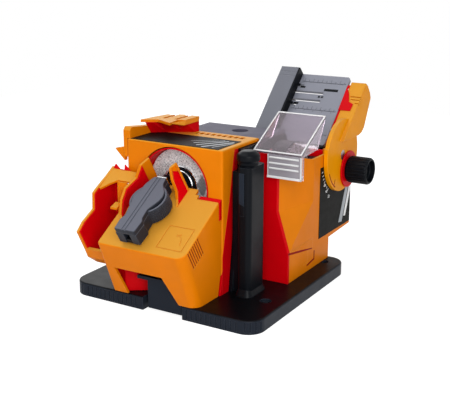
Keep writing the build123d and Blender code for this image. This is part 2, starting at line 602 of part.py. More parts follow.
def cradle_liners():
    """Red facings: one inside the left wall, one on the right wall's outer flank."""
    low = [(s, n - 1.0) for s, n in LEFT_TOP]
    left = raised([(x + 1.9, s) for x, s in LEFT_WALL[1:-1]], 1.4, 0.02, low)
    flank = extrude(Polygon(*RIGHT_WALL, *POST[1:], *BACK_WALL[1:], align=None), 24, dir=(0, 0, 1))
    flank &= prism_y([(-12, 0.02), (-12, 22.0), (-7.5, 21.9), (4.9, 0.02)], 50, 90)
    flank &= prism_x([(50, 0)] + [(s, n - 0.5) for s, n in RIGHT_TOP] + [(90, 0)], -60, 60)
    walls = cradle_walls()
    left, right = HEAD * left & before(LEFT_Y), HEAD * flank & before(RIGHT_Y)
    for w in walls:
        left -= w
        right -= w
    return [max(left.solids(), key=lambda q: q.volume), max(right.solids(), key=lambda q: q.volume)]


def head_liner():
    """Red inner lining seen through the feet and the slits."""
    t, g = 1.2, 0.1
    x0, x1 = HEAD_X0 + HEAD_WALL + g, HEAD_X1 - HEAD_WALL - g
    outline = [(-88.2, BASE_T + 0.4), (-105.0, 60.0), (-66.0, 84.0), (-57.0, 84.0), (-57.0, BASE_T + 0.4)]
    apron = [(x0 + 0.5, -86.4), (x0 + 0.5, -87.9), (-38.5, -90.3), (RAIL_X0 - 0.8, -74.0), (RAIL_X0 - 0.8, -72.4),
             (-38.6, -88.6)]
    left = prism_x(outline, x0, x0 + t) + prism_z(apron, BASE_T + 0.5, RAIL_TOP - 0.4)
    left += prism_z(apron, BASE_T + 0.5, 33.8) & box(x0, FLANGE_X0 - 0.5, -100, -60, 0, 60)
    return [left, prism_x(outline, x1 - t, x1)]


def holder():
    """Drill holder: flat tail to hold, round boss over the pivot, nose towards the wheel."""
    x, s = HOLD_X, HOLD_S
    n0, n1 = HOLD_N0, HOLD_N1
    tail = extrude(Plane.XY.offset(n0) * Polygon((x - 11, 5), (x + 9, 3), (x + 11, 8), (x + 11, 22), (x + 8, 28),
                                                 (x - 11, 30), (x - 13, 20), align=None), n1 - n0, dir=(0, 0, 1))
    boss = rod_z(x, s, HOLD_TILT_R, n0, n1 - 2)
    top = rod_z(x, s, HOLD_TILT_R - 3.0, n1 - 3, n1 - 0.5)
    nose = extrude(Plane.XY.offset(n0) * Polygon((x - 9, 26), (x + 9, 26), (x + 9, 52), (x + 6, 60), (x + 6, 69),
                                                 (x - 6, 69), (x - 6, 60), (x - 9, 52), align=None), n1 - n0, dir=(0, 0, 1))
    body = tail + boss + top + nose
    body = soft(body, [e for e in body.edges().filter_by(Axis.Z) if e.center().Y < 24], 1.5, 1.0)
    body -= Pos(x, 41, DRILL_N) * Rot(90, 0, 0) * Cylinder(DRILL_R, 60)
    body -= Pos(x, 8, DRILL_N) * Rot(90, 0, 0) * Cylinder(SHANK_R, 20)
    body -= box(x - SHANK_R, x + SHANK_R, 0, 18, n0 - 1, DRILL_N)
    # grip grooves along the top
    for dx in (-4.0, 3.0):
        body -= box(x + dx, x + dx + 0.8, 0, 62, n1 - 0.7, n1 + 1)
    body -= rod_z(x, s, 2.0 + RUN, -1, DRILL_N)
    return HEAD * body


def holder_screw():
    """Shoulder screw from the head into the holder's boss."""
    x, s = HOLD_X, HOLD_S
    body = rod_z(x, s, 2.0, -3.2, DRILL_N - DRILL_R - 0.6)
    return HEAD * (body + rod_z(x, s, 4.0, -5.6, -HEAD_WALL - 0.1))


def nose_ring():
    x, s1 = HOLD_X, 69.0
    ring = Pos(x, s1 + 0.9, DRILL_N) * Rot(90, 0, 0) * (Cylinder(6.0, 1.8) - Cylinder(DRILL_R, 3))
    return HEAD * ring


def collet():
    """Split collet that grips the drill just short of the wheel."""
    x, s1 = HOLD_X, 70.8
    cone = Pos(x, s1 + 3.5, DRILL_N) * Rot(-90, 0, 0) * Cone(5.6, 4.2, 7)
    cone -= Pos(x, s1 + 3, DRILL_N) * Rot(90, 0, 0) * Cylinder(COLLET_R, 12)
    cone -= Pos(x, s1 + 5, DRILL_N) * Box(0.9, 7, 14)
    cone -= Pos(x, s1 + 5, DRILL_N) * Box(14, 7, 0.9)
    return HEAD * cone


# ------------------------------------------------------------------ scissors and blade chute
CH_X0, CH_X1 = -76.6, HEAD_X0
RIM = [(-55.5, 118.0), (-65.5, 111.6), (-82.3, 102.2), (-86.5, 99.3), (-87.2, 84.5), (-102.7, 76.0),
       (-110.4, 68.6), (-100.0, 48.5), (-96.4, 40.6), (-83.5, 31.6), (-69.0, 30.9), (-56.0, 30.9)]
LEDGE = [(CH_X0, 47.2), (-73.0, 50.6), (-66.5, 58.3), (-60.5, 63.4), (-44.4, 63.4), (-38.9, 75.1), (-54.9, 76.4),
         (-65.0, 75.9), (-72.8, 82.7), (CH_X0, 83.5)]     # notched ledge, in the deck's plane


def offset_rim(d):
    """Rim shrunk towards its middle by about d."""
    cy = sum(p[0] for p in RIM) / len(RIM)
    cz = sum(p[1] for p in RIM) / len(RIM)
    out = []
    for y, z in RIM:
        r = math.hypot(y - cy, z - cz)
        out.append((cy + (y - cy) * (r - d) / r, cz + (z - cz) * (r - d) / r))
    return out


def chute():
    """Orange outer cheek of the chute, its closed lower front and the notched ledge."""
    body = prism_x(RIM, CH_X0, CH_X0 + 2.4)
    lower = [(-100.8, 50.1), (-100.0, 48.5), (-96.4, 40.6), (-83.5, 31.6), (-69.0, 30.9), (-56.0, 30.9),
             (-56.0, 33.4), (-68.8, 33.4), (-82.7, 34.1), (-94.2, 42.0), (-98.0, 51.2)]
    body += prism_x(lower, CH_X0, CH_X1)
    ledge = extrude(Plane.XY.offset(11.6) * Polygon(*LEDGE, align=None), 2.1, dir=(0, 0, 1))
    ledge -= ribbon(LEFT_WALL, 2.5, -1.0, 40)
    ledge = HEAD * ledge & before(-57.2)
    body += max(ledge.solids(), key=lambda q: q.volume)
    # upright that carries the ledge on the head's side, with its ribs
    body += box(-60.5, CH_X1, -69.5, -67.5, 80, 108)
    for x in (-59.5, -56.0, -52.5):
        body += box(x - 0.5, x + 0.5, -70.3, -69.0, 82, 104)
    body += box(CH_X1 - 2.2, CH_X1, -80, -55.5, 34, deck_z(-68) - 2)
    # two small ribs that steady the blade
    body += prism_x([(-84, 86), (-84, 88), (-76, 91), (-76, 89)], CH_X1 - 8, CH_X1 - 1)
    return body


def chute_liner():
    """Red lining of the chute's cheek and floor."""
    cheek = prism_x(offset_rim(1.3), CH_X0 + 2.4, CH_X0 + 3.4)
    for piece in (chute(),):
        cheek -= piece
    teeth = prism_y([(-73.6, 114.5), (-73.6, 118.0), (-71.5, 121.0), (-66.7, 116.5), (-61.5, 116.5), (-61.0, 121.5),
                     (-55.0, 116.8), (-55.0, 114.5)], -57.2, -56.2)
    return [max(cheek.solids(), key=lambda q: q.volume), teeth]


# ------------------------------------------------------------------ chisel module
def module_solid(top=MOD_TOP):
    pts = [(MOD_Y0, BASE_T), (MOD_Y0, top), (MOD_Y1, top), (MOD_Y1, MOD_STEP_Z + 2),
           (MOD_LOW_Y1, MOD_STEP_Z), (MOD_LOW_Y1, BASE_T)]
    body = prism_x(pts, MOD_X0, MOD_X1)
    # right front corner sliced away above the shoulder
    body -= corner_cut(0)
    return body


def corner_cut(d):
    """Wedge taken off the right front corner; d moves its face inwards."""
    za, zb, edge, run = 43.0, 81.0, 81.0, 4.06      # run: depth gained per mm of width
    xa, xb = 79.2 - d, 67.2 - d

    def triangle(x):
        return Polygon((x, MOD_Y0 - 1), (edge, MOD_Y0 - 1), (edge, MOD_Y0 - 1 + (edge - x) * run), align=None)

    upper = extrude(Plane.XY.offset(zb) * triangle(xb), 150 - zb, dir=(0, 0, 1))
    low = loft([Plane.XY.offset(za) * triangle(xa), Plane.XY.offset(zb) * triangle(xb)], ruled=True)
    return upper + low


def chisel_housing():
    t = MOD_WALL
    body = module_solid()
    hollow = [(MOD_Y0 - 1, BASE_T - 1), (MOD_Y0 - 1, MOD_TOP + 1), (MOD_Y1 - t, MOD_TOP + 1),
              (MOD_Y1 - t, MOD_STEP_Z + 2 + t), (MOD_LOW_Y1 - t, MOD_STEP_Z + t), (MOD_LOW_Y1 - t, BASE_T - 1)]
    inner = prism_x(hollow, MOD_X0 + t, MOD_X1 - t) - corner_cut(t)
    body -= inner
    body -= box(MOD_X0 - 1, MOD_X1 + 1, MOD_Y0 - 1, MOD_Y0 + FRONT_T, BASE_T - 1, MOD_TOP + 1)
    # bosses for the tilt pivot and the clamping bolt
    body += rod_x(ARM_Y, ARM_Z, 8.0, MOD_X1 - 6, MOD_X1 - 1)
    body += rod_x(KNOB_Y, KNOB_Z, 9.0, MOD_X1 - 12, MOD_X1 - 1)
    body -= rod_x(ARM_Y, ARM_Z, PIVOT_R, MOD_X1 - 9, MOD_X1 + 1)
    body -= rod_x(KNOB_Y, KNOB_Z, BOLT_D / 2 + RUN, MOD_X1 - 13, MOD_X1 + 1)
    # motor shaft comes through the left wall; the left wall and the back drop clear of the table
    body -= rod_x(DRIVE_Y, WHL_Z, 9.0, MOD_X0 - 1, MOD_X0 + t + 1)
    body -= box(MOD_X0 - 1, MOD_X0 + 27, 76, MOD_Y1 - t - 6, 108, MOD_TOP + 1)
    body -= box(MOD_X0 - 1, MOD_X1 - 4, 84, MOD_Y1 + 1, 116, MOD_TOP + 1)
    body -= box(MOD_X0 - 1, MOD_X1 + 1, 74, MOD_Y1 + 1, MOD_TOP - 3, MOD_TOP + 1)
    body -= prism_x([(-1, MOD_TOP - 3), (32, MOD_TOP - 3), (50, MOD_TOP - 8), (76, MOD_TOP - 8), (76, 140), (-1, 140)],
                    MOD_X1 - 14, MOD_X1 + 1)
    # panel line of the shoulder and the hooked latch slot
    body -= box(MOD_X1 - 0.6, MOD_X1 + 1, 5.5, 54, 42.4, 43.4)
    body -= box(MOD_X1 - 0.6, MOD_X1 + 1, 53.2, 54.0, 34, 43.4)
    body -= box(MOD_X1 - 1.2, MOD_X1 + 1, 42, 43.6, 22, 34) + box(MOD_X1 - 1.2, MOD_X1 + 1, 34, 43.6, 20.6, 22)
    return body


BOLT_D = 6.0


def chisel_front():
    """Red front of the chisel module with the lug that carries the guard."""
    body = module_solid(MOD_TOP + 4) & box(MOD_X0, MOD_X1, MOD_Y0, MOD_Y0 + FRONT_T, BASE_T, MOD_TOP + 4)
    lug = box(63.6, 68.4, HINGE_Y, MOD_Y0 + 1, HINGE_Z - 2.4, HINGE_Z + 2.4)
    lug += rod_x(HINGE_Y, HINGE_Z, 2.4, 63.6, 68.4)
    return body + lug - rod_x(HINGE_Y, HINGE_Z, HINGE_R, 60, 72)


def guard_pin():
    return rod_x(HINGE_Y, HINGE_Z, HINGE_R, GUARD_BOX_X0 + 0.2, GUARD_X1 - 0.2)


def guard():
    """Clear eye shield: ridged front box with a roof that slopes up over the wheel."""
    t = GUARD_T
    y0, z0, z1 = GUARD_Y0, GUARD_Z0, GUARD_Z1
    x0, x1, bx = GUARD_X0, GUARD_X1, GUARD_BOX_X0
    by, bz = GUARD_BACK_Y, GUARD_BACK_Z
    front = box(bx, x1, y0, y0 + t, z0, z1)
    front += box(bx + 3, x1 - 3, y0 - 1.0, y0 + 0.5, 120.5, 122.3)
    front += box(bx + 3, x1 - 3, y0 - 1.0, y0 + 0.5, 128.0, 129.8)
    cheek = [(y0, z0), (y0, z1), (by, bz), (by - 15, z1 - 0.5), (-0.2, z1 - 2), (-0.2, z0)]
    right = prism_x(cheek, x1 - t, x1)
    left = prism_x([(y0, z0), (y0, z1), (-0.2, z1), (-0.2, z0)], bx, bx + t)
    roof = prism_x([(y0, z1), (y0, z1 + 0.4), (by, bz + 0.4), (by, bz - t), (y0 + t, z1 - t)], x0, x1)
    wing = prism_x([(y0, z1 - 0.2), (by, bz), (by - 15, z1 + 6), (y0 + 8, z1 - 0.2)], x0, x0 + t)
    body = front + right + left + roof + wing
    return body - rod_x(HINGE_Y, HINGE_Z, HINGE_R + RUN, bx - 1, x1 + 1)


def side_label():
    outline = prism_x([(66, 38.5), (66, 110), (MOD_Y1 - 0.5, 110), (MOD_Y1 - 0.5, 38.5)], MOD_X1, MOD_X1 + SKIN)
    return outline - rod_x(KNOB_Y, KNOB_Z, 6.0, MOD_X1 - 1, MOD_X1 + 1)


def chisel_wheel():
    body = rod_x(DRIVE_Y, WHL_Z, CHW_R, CHW_X0, CHW_X0 + CHW_T)
    body = soft(body, body.edges().filter_by(GeomType.CIRCLE), 0.8)
    return body - rod_x(DRIVE_Y, WHL_Z, SHAFT_R, CHW_X0 - 1, CHW_X0 + CHW_T + 1)


def chisel_flanges():
    """Back flange, and a front flange that carries the hexagon of its nut."""
    x1 = CHW_X0 + CHW_T
    back = rod_x(DRIVE_Y, WHL_Z, 11.0, CHW_X0 - 2.0, CHW_X0)
    nut = rod_x(DRIVE_Y, WHL_Z, 11.0, x1, x1 + 2.0)
    nut += extrude(Plane.YZ.offset(x1 + 1.5) * Pos(DRIVE_Y, WHL_Z) * RegularPolygon(6.5, 6), 3.1, dir=(1, 0, 0))
    shaft = rod_x(DRIVE_Y, WHL_Z, SHAFT_R, CHW_X0 - 5, x1 + 10)
    return [back - shaft, nut - shaft]


# ------------------------------------------------------------------ tilting table
def guide_table():
    body = extrude(Plane.XY.offset(-TAB_T) * Pos((TAB_X0 + TAB_X1) / 2, TAB_LEN / 2)
                   * RectangleRounded(TAB_X1 - TAB_X0, TAB_LEN, 3.0), TAB_T)
    for s in SLOT_S:
        body -= box(SLOT_X0, SLOT_X1, s - SLOT_W / 2, s + SLOT_W / 2, -TAB_T - 1, 1)
    body -= box(48, 61, 66.2, 68.2, -TAB_T - 1, 1)
    for x in (43.5, 46.5):
        body -= rod_z(x, 57, 0.9, -TAB_T - 1, 1)
    # stepped openings that clear the fence's clamp
    for s in (46.5, 70.0):
        body -= box(16, 22, s - 1.5, s + 1.5, -TAB_T - 1, 1)
    # engraved square lines and tick marks
    for s in (41.0, 75.0, 12.0):
        body -= box(18, TAB_X1 - 2, s - 0.25, s + 0.25, -0.4, 1)
    for i in range(9):
        x = 20 + i * 5.5
        body -= box(x - 0.25, x + 0.25, 75, 75 + (3.0 if i % 2 else 2.0), -0.4, 1)
        body -= box(x - 0.25, x + 0.25, 41, 41 + (3.0 if i % 2 else 2.0), -0.4, 1)
    # stiffening ribs underneath
    for s in (18.0, 34.0):
        body += box(TAB_X0 + 4, TAB_X1 - 16, s - 1, s + 1, -TAB_T - 3, -TAB_T + 0.5)
    body = TABLE * body
    for screw in arm_screws():
        body -= screw
    return body


def table_foot():
    return TABLE * box(61, 69, -2.6, 0, -TAB_T, -0.2)


POCKET = [(TAB_X1, 74.4), (75.0, 64.4), (78.2, 54.6), (83.3, 52.6), (82.9, 43.9), (TAB_X1, 43.9)]


def arm_liner():
    """Red strip between the table's edge and the arm."""
    pts = [(8, -TAB_T - 5.5), (2.5, -1.0), (76, -1.0), (76, -TAB_T - 5.5)]
    strip = prism_x(pts, TAB_X1, TAB_X1 + 2.4)
    pocket = prism_z(POCKET, -0.4, 0.2)
    body = TABLE * (strip + pocket)
    for screw in arm_screws():
        body -= screw
    return body


def swing_arm():
    """Orange arm: round plate on the tilt axis, bar up beside the table, block at its top."""
    x0, x1 = ARM_X0, ARM_X1
    top = [(152.0, 181.8), (157.6, 178.6), (164, 170.5), (166.4, 165)]
    plate = [(71.4, ARM_Z), (71.4, 127.5), (95.6, 127.5)] + top + [(152, 137), (146, 132.5), (141, 129),
                                                                   (142.5, 114.6)]
    outer = [(99.4, 130.9)] + top + [(152, 137), (146, 132.5), (139, 130.9)]
    # the inner half of the bar keeps clear of the module's wall when the table tilts back
    inner = [(99.4, 130.9)] + top + [(154, 146), (115, 131.4)]
    body = rod_x(ARM_Y, ARM_Z, ARM_R, x0, x1) + prism_x(plate, x0, x1)
    body += prism_x(outer, x0, 88.0) + prism_x(inner, TAB_X1 + 2.4, x0 + 1)
    body = soft(body, [e for e in body.edges().filter_by(Axis.X) if e.center().Z > 150], 2.0, 1.0)
    # three slits and a recess at the top
    for x, s in ((76.4, 61.4), (78.6, 57.8), (84.0, 53.6)):
        body -= TABLE * box(x, 89, s, s + 1.3, -5, 3)
    body -= TABLE * prism_z([(TAB_X1 + 1, 76.2), (75.3, 64.6), (78.4, 54.8), (83.5, 52.8), (83.1, 43.7),
                             (TAB_X1 + 1, 43.7)], -0.5, 3)
    body -= rod_x(ARM_Y, ARM_Z, PIVOT_R + RUN, x0 - 1, x1 + 10)
    # arc slot for the clamping bolt
    r = math.hypot(KNOB_Y - ARM_Y, KNOB_Z - ARM_Z)
    a0 = math.degrees(math.atan2(KNOB_Z - ARM_Z, KNOB_Y - ARM_Y))
    half = BOLT_D / 2 + 1.2
    for k in range(-18, 23, 2):
        a = math.radians(a0 + k)
        body -= rod_x(ARM_Y + r * math.cos(a), ARM_Z + r * math.sin(a), half, x0 - 1, x1 + 0.02)
    # pointer window
    body -= box(x0 - 1, x1 + 1, 90.4, 91.6, 85.5, 91)
    return body


def pivot_pin():
    return rod_x(ARM_Y, ARM_Z, PIVOT_R, MOD_X1 - 8, ARM_X1 - 0.2)


def arm_screws():
    """Screws that hold the table's edge to the arm."""
    out = []
    for s in (20.0, 70.5):
        body = rod_x(0, 0, 1.5, TAB_X1 - 6, TAB_X1 + 2.4)
        out.append(TABLE * (Pos(0, s, -TAB_T / 2) * body))
    return out


def tilt_knob():
    """Fluted clamping knob with a recessed end."""
    n = 20
    body = rod_x(KNOB_Y, KNOB_Z, KNOB_R, KNOB_X0, KNOB_X1)
    body = soft(body, body.edges().filter_by(GeomType.CIRCLE), 1.5, 1.0)
    for i in range(n):
        a = 2 * math.pi * i / n
        body -= rod_x(KNOB_Y + (KNOB_R + 0.5) * math.cos(a), KNOB_Z + (KNOB_R + 0.5) * math.sin(a), 1.3,
                      KNOB_X0 + 2, KNOB_X1 + 1)
    body -= rod_x(KNOB_Y, KNOB_Z, KNOB_R - 3.4, KNOB_X1 - 5, KNOB_X1 + 1)
    return body - rod_x(KNOB_Y, KNOB_Z, BOLT_D / 2, KNOB_X0 - 1, KNOB_X1 - 8)


def knob_washer():
    return rod_x(KNOB_Y, KNOB_Z, 18.5, ARM_X1 + 0.5, KNOB_X0) - rod_x(KNOB_Y, KNOB_Z, BOLT_D / 2, ARM_X1, KNOB_X0 + 1)


def clamp_bolt():
    return rod_x(KNOB_Y, KNOB_Z, BOLT_D / 2, MOD_X1 - 10, KNOB_X1 - 8)


# ------------------------------------------------------------------ fence
def fence():
    """Grey bar across which the chisel is squared; keys run in the table's slots."""
    body = box(FENCE_X0, FENCE_X1 - 1.6, 0.5, FENCE_LEN, GAP, FENCE_H)
    body = soft(body, [e for e in body.edges().filter_by(Axis.Y) if e.center().Z > 5], 0.8)
    body -= box(FENCE_X0 + 3, FENCE_X1 - 5, 4, FENCE_LEN - 4, -1, FENCE_H - 3)
    body += box(FENCE_X0 + 2.5, FENCE_X1 - 4.5, 50.0, 64.0, GAP, FENCE_H - 2)
    for s in SLOT_S:
        body += box(2.5, 9.5, s - SLOT_W / 2 + 0.35, s + SLOT_W / 2 - 0.35, -TAB_T - 2.0, 1)
    # engraved square lines near the top end
    for s in (74.0, 79.0):
        body -= box(FENCE_X0 + 2, FENCE_X1 - 3, s, s + 0.5, FENCE_H - 0.4, FENCE_H + 1)
    return TABLE * body


def fence_face():
    """Black wear strip on the fence's working side."""
    body = box(FENCE_X1 - 1.6, FENCE_X1, 0.5, FENCE_LEN, GAP, FENCE_H - 0.3)
    for s in (46.5, 70.0):
        body += box(FENCE_X1 - 0.1, FENCE_X1 + 2.2, s - 1.2, s + 1.2, GAP, 2.0)
    return TABLE * body


def fence_clamp():
    """Plate and thumb nut under the table that lock the fence."""
    plate = box(1.0, 11.0, 48.5, 65.5, -TAB_T - 3.2, -TAB_T - GAP - 0.6)
    for s in SLOT_S:
        plate -= box(2.0, 10.0, s - SLOT_W / 2, s + SLOT_W / 2, -TAB_T - 2, -TAB_T)
    nut = rod_z(6.0, 57.0, 6.5, -TAB_T - 9.5, -TAB_T - 3.2)
    stud = rod_z(6.0, 57.0, 2.0, -TAB_T - 5, -TAB_T - GAP - 0.6)
    return TABLE * (plate + nut + stud)


# ------------------------------------------------------------------ column cap, switch, cable gland
def storage_cap():
    z0 = COL_TOP + 0.5
    body = rod_z(CAP_X, CAP_Y, CAP_R, z0 + 3.4, z0 + CAP_H + 2.5)
    body = soft(body, body.faces().sort_by(Axis.Z)[-1].edges(), 3.0, 2.0)
    body += rod_z(CAP_X, CAP_Y, CAP_R - 1.2, z0, z0 + 3.6)
    return body - rod_z(CAP_X, CAP_Y, NECK_R + 0.35, z0 - 1, COL_TOP + 8.5)


def dressing_stick():
    return rod_z(CAP_X, CAP_Y, STORE_R - 0.6, STORE_Z0, COL_TOP + 4)


def switch_bezel():
    w, h = SW_W / 2 + 4, SW_H / 2 + 4
    body = box(SW_X - w, SW_X + w, MOT_Y1, MOT_Y1 + 2, SW_Z - h, SW_Z + h)
    body += box(SW_X - SW_W / 2 - 1, SW_X + SW_W / 2 + 1, MOT_Y1 - 12, MOT_Y1 + 0.5,
                SW_Z - SW_H / 2 - 1, SW_Z + SW_H / 2 + 1)
    return body - box(SW_X - SW_W / 2, SW_X + SW_W / 2, MOT_Y1 - 10.5, MOT_Y1 + 3, SW_Z - SW_H / 2, SW_Z + SW_H / 2)


ROCK_Y = MOT_Y1 - 3.5                            # axis of the rocker


def switch_rocker():
    """Rocker key; half of it always stands proud of the bezel."""
    h = SW_H / 2 - 1.8
    pts = [(ROCK_Y, SW_Z - 3), (ROCK_Y + 3.0, SW_Z - h), (ROCK_Y + 6.0, SW_Z - h), (ROCK_Y + 6.6, SW_Z),
           (ROCK_Y + 8.2, SW_Z + h - 0.3), (ROCK_Y + 5.0, SW_Z + h + 0.1), (ROCK_Y, SW_Z + 3)]
    body = prism_x(pts, SW_X - SW_W / 2 + GAP, SW_X + SW_W / 2 - GAP)
    body += rod_x(ROCK_Y, SW_Z, 3.0, SW_X - SW_W / 2 + GAP, SW_X + SW_W / 2 - GAP)
    return body - rod_x(ROCK_Y, SW_Z, 1.5 + RUN, SW_X - 20, SW_X + 20)


def switch_pin():
    return rod_x(ROCK_Y, SW_Z, 1.5, SW_X - SW_W / 2, SW_X + SW_W / 2)


def cable_gland():
    body = rod_y(GLAND_X, GLAND_Z, 6.0, MOT_Y1 - WALL, MOT_Y1)
    body += rod_y(GLAND_X, GLAND_Z, 8.0, MOT_Y1, MOT_Y1 + 3)
    body += Pos(GLAND_X, MOT_Y1 + 8, GLAND_Z) * Rot(-90, 0, 0) * Cone(6.0, 4.5, 10.2)
    return body - rod_y(GLAND_X, GLAND_Z, 3.2, MOT_Y1 - 8, MOT_Y1 + 20)


def housing_screws():
    """Pan-head screws from below into the housings."""
    out = []
    for x, y in ((-50, -30), (-50, 0), (34, 60), (-32, 60), (66, 60), (66, 12)):
        out.append(rod_z(x, y, 3.6, BASE_T - 3.5 - 2.4, BASE_T - 3.5 - 0.02))
    return out


# ------------------------------------------------------------------ write every node
def main():
    group("base_plate", base_plate())
    group("base_pads", *base_pads())
    group("front_rail", front_rail())
    group("housing_screws", *housing_screws())
    group("drill_housing", drill_housing())
    group("drill_housing_back", drill_housing_back(), joint_lip())
    group("wheel_well", wheel_well())
    group("top_label", top_label())
    group("knife_station", knife_station())
    group("knife_guide_body", knife_guide_body())
    group("knife_guide", knife_guide())
    group("knife_hones", *knife_hones())
    group("motor_housing", motor_housing())
    group("motor_top", motor_top())
    group("motor_can", motor_can())
    group("motor_saddles", *motor_saddles())
    group("motor_shaft", motor_shaft())
    group("motor_gear", motor_gear())
    group("chisel_wheel", chisel_wheel())
    group("chisel_flanges", *chisel_flanges())
    group("spindle_shaft", spindle_shaft())
    group("spindle_gear", spindle_gear())
    group("spindle_bearings", *spindle_bearings())
    group("spindle_bracket", spindle_bracket())
    group("drill_wheel", drill_wheel())
    group("wheel_hub", wheel_hub())
    group("hub_ring", hub_ring())
    group("wheel_nut", wheel_nut())
    group("drill_head", drill_head())
    group("head_liner", *head_liner())
    group("cradle_liners", *cradle_liners())
    group("chute", chute())
    group("chute_liner", *chute_liner())
    group("drill_holder", holder())
    group("holder_screw", holder_screw())
    group("nose_ring", nose_ring())
    group("collet", collet())
    group("chisel_housing", chisel_housing())
    group("chisel_front", chisel_front())
    group("side_label", side_label())
    group("guard_pin", guard_pin())
    group("guard", guard())
    group("pivot_pin", pivot_pin())
    group("guide_table", guide_table())
    group("table_foot", table_foot())
    group("arm_liner", arm_liner())
    group("swing_arm", swing_arm())
    group("arm_screws", *arm_screws())
    group("tilt_knob", tilt_knob())
    group("knob_washer", knob_washer())
    group("clamp_bolt", clamp_bolt())
    group("fence", fence())
    group("fence_face", fence_face())
    group("fence_clamp", fence_clamp())
    group("storage_cap", storage_cap())
    group("dressing_stick", dressing_stick())
    group("switch_bezel", switch_bezel())
    group("switch_rocker", switch_rocker())
    group("switch_pin", switch_pin())
    group("cable_gland", cable_gland())


main()
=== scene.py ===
"""Finishes, small parts and studio of the tabletop multi-purpose sharpener.

Pieces are worked out in millimetres and written to their meshes in metres, in the frame of
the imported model: X right along the front edge, Y back, Z up from the base's underside.
"""

import json
import logging
import math
from dataclasses import dataclass
from enum import Enum

import bmesh
import bpy
import numpy as np
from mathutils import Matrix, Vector

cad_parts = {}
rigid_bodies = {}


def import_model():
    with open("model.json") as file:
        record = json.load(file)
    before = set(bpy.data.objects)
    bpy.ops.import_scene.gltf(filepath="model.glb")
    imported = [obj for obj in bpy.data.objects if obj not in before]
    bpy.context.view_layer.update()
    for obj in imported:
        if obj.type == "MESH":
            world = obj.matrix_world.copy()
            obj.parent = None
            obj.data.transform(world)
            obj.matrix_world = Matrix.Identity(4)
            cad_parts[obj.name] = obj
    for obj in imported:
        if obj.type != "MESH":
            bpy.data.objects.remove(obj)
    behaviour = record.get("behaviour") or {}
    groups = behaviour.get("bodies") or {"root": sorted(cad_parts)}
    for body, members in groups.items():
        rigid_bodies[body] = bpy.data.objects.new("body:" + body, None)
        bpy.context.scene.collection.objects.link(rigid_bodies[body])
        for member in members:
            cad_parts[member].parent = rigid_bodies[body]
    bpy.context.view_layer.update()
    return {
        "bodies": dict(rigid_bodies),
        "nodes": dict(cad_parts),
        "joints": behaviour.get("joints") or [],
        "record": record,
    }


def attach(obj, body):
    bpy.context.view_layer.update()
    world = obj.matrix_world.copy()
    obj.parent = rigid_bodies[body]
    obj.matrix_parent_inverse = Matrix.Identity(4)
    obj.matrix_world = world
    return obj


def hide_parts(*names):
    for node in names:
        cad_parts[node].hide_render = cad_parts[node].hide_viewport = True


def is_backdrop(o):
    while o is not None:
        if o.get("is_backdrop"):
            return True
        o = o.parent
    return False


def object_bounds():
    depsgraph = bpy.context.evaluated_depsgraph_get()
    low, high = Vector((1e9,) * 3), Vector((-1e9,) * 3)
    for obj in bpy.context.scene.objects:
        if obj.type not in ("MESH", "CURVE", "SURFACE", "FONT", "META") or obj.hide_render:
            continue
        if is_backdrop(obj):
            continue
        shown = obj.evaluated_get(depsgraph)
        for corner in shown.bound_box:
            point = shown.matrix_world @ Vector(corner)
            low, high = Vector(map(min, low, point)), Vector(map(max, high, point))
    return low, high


LOG = logging.getLogger("sharpener")
MM = 0.001
Array = np.ndarray
Rgba = tuple[float, float, float, float]
Outline = tuple[tuple[float, float], ...]
Body = tuple[Array, list]                # points and faces of one closed body
Tree, Socket = bpy.types.NodeTree, bpy.types.NodeSocket
NOISE, RAMP, RANGE, MIX = "ShaderNodeTexNoise", "ShaderNodeValToRGB", "ShaderNodeMapRange", "ShaderNodeMix"

CREASE = 35.0                            # degrees: an edge sharper than this stays sharp
MERGE = 0.002                            # points closer than this are one point
NEAR_AXIS = 0.01                         # radius where a lathe profile starts, so that it can be rounded there

WHEEL_X, WHEEL_Z = -10.0, 105.5          # drill wheel's axis, along Y
DRIVE_Y = 40.0                           # chisel wheel's axis, along X at the same height
DECK_Y, DECK_Z, DECK_SLOPE = -115.0, 64.2, 32.0
TABLE_Y, TABLE_Z, TABLE_SLOPE = 94.4, 126.1, 45.0
PIVOT_Y, PIVOT_Z = 107.6, 115.7          # tilt axis of the table's arm
KNOB_Y, KNOB_Z = 120.0, 99.3


class Slot(Enum):
    """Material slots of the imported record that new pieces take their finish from."""

    CHARCOAL = "charcoal_plastic"
    BLACK = "black_plastic"
    ORANGE = "orange_plastic"
    RED = "red_plastic"
    GREY = "grey_plastic"
    RUBBER = "pad_rubber"
    GRIT = "abrasive"
    STEEL = "steel"
    BRIGHT = "bright_steel"
    BRONZE = "bearing_bronze"
    CERAMIC = "ceramic"
    DRESSER = "dresser"
    FOIL = "label_foil"
    CLEAR = "clear_plastic"


class Axis(Enum):
    """Direction that a turned piece's axis points in."""

    X = 0
    Y = 1
    Z = 2


# ---------------------------------------------------------------------------- colour and nodes
def linear(code: str) -> Rgba:
    """Turn an sRGB hex colour into linear light.

    Args:
        code: six hex digits.
    Returns:
        Linear red, green, blue and an alpha of one.
    """
    srgb = [int(code[i:i + 2], 16) / 255 for i in (0, 2, 4)]
    r, g, b = (c / 12.92 if c <= 0.04045 else ((c + 0.055) / 1.055) ** 2.4 for c in srgb)
    return r, g, b, 1.0


def shade(colour: Rgba, share: float) -> Rgba:
    """Linear colour made darker or lighter by a share, at most white."""
    return tuple(min(1.0, c * share) for c in colour[:3]) + (1.0,)


def grey(value: float) -> Rgba:
    """Linear grey of one value."""
    return value, value, value, 1.0


def per(size_mm: float) -> float:
    """Scale at which a pattern's cells are one size across, on coordinates in metres."""
    return 1 / MM / size_mm


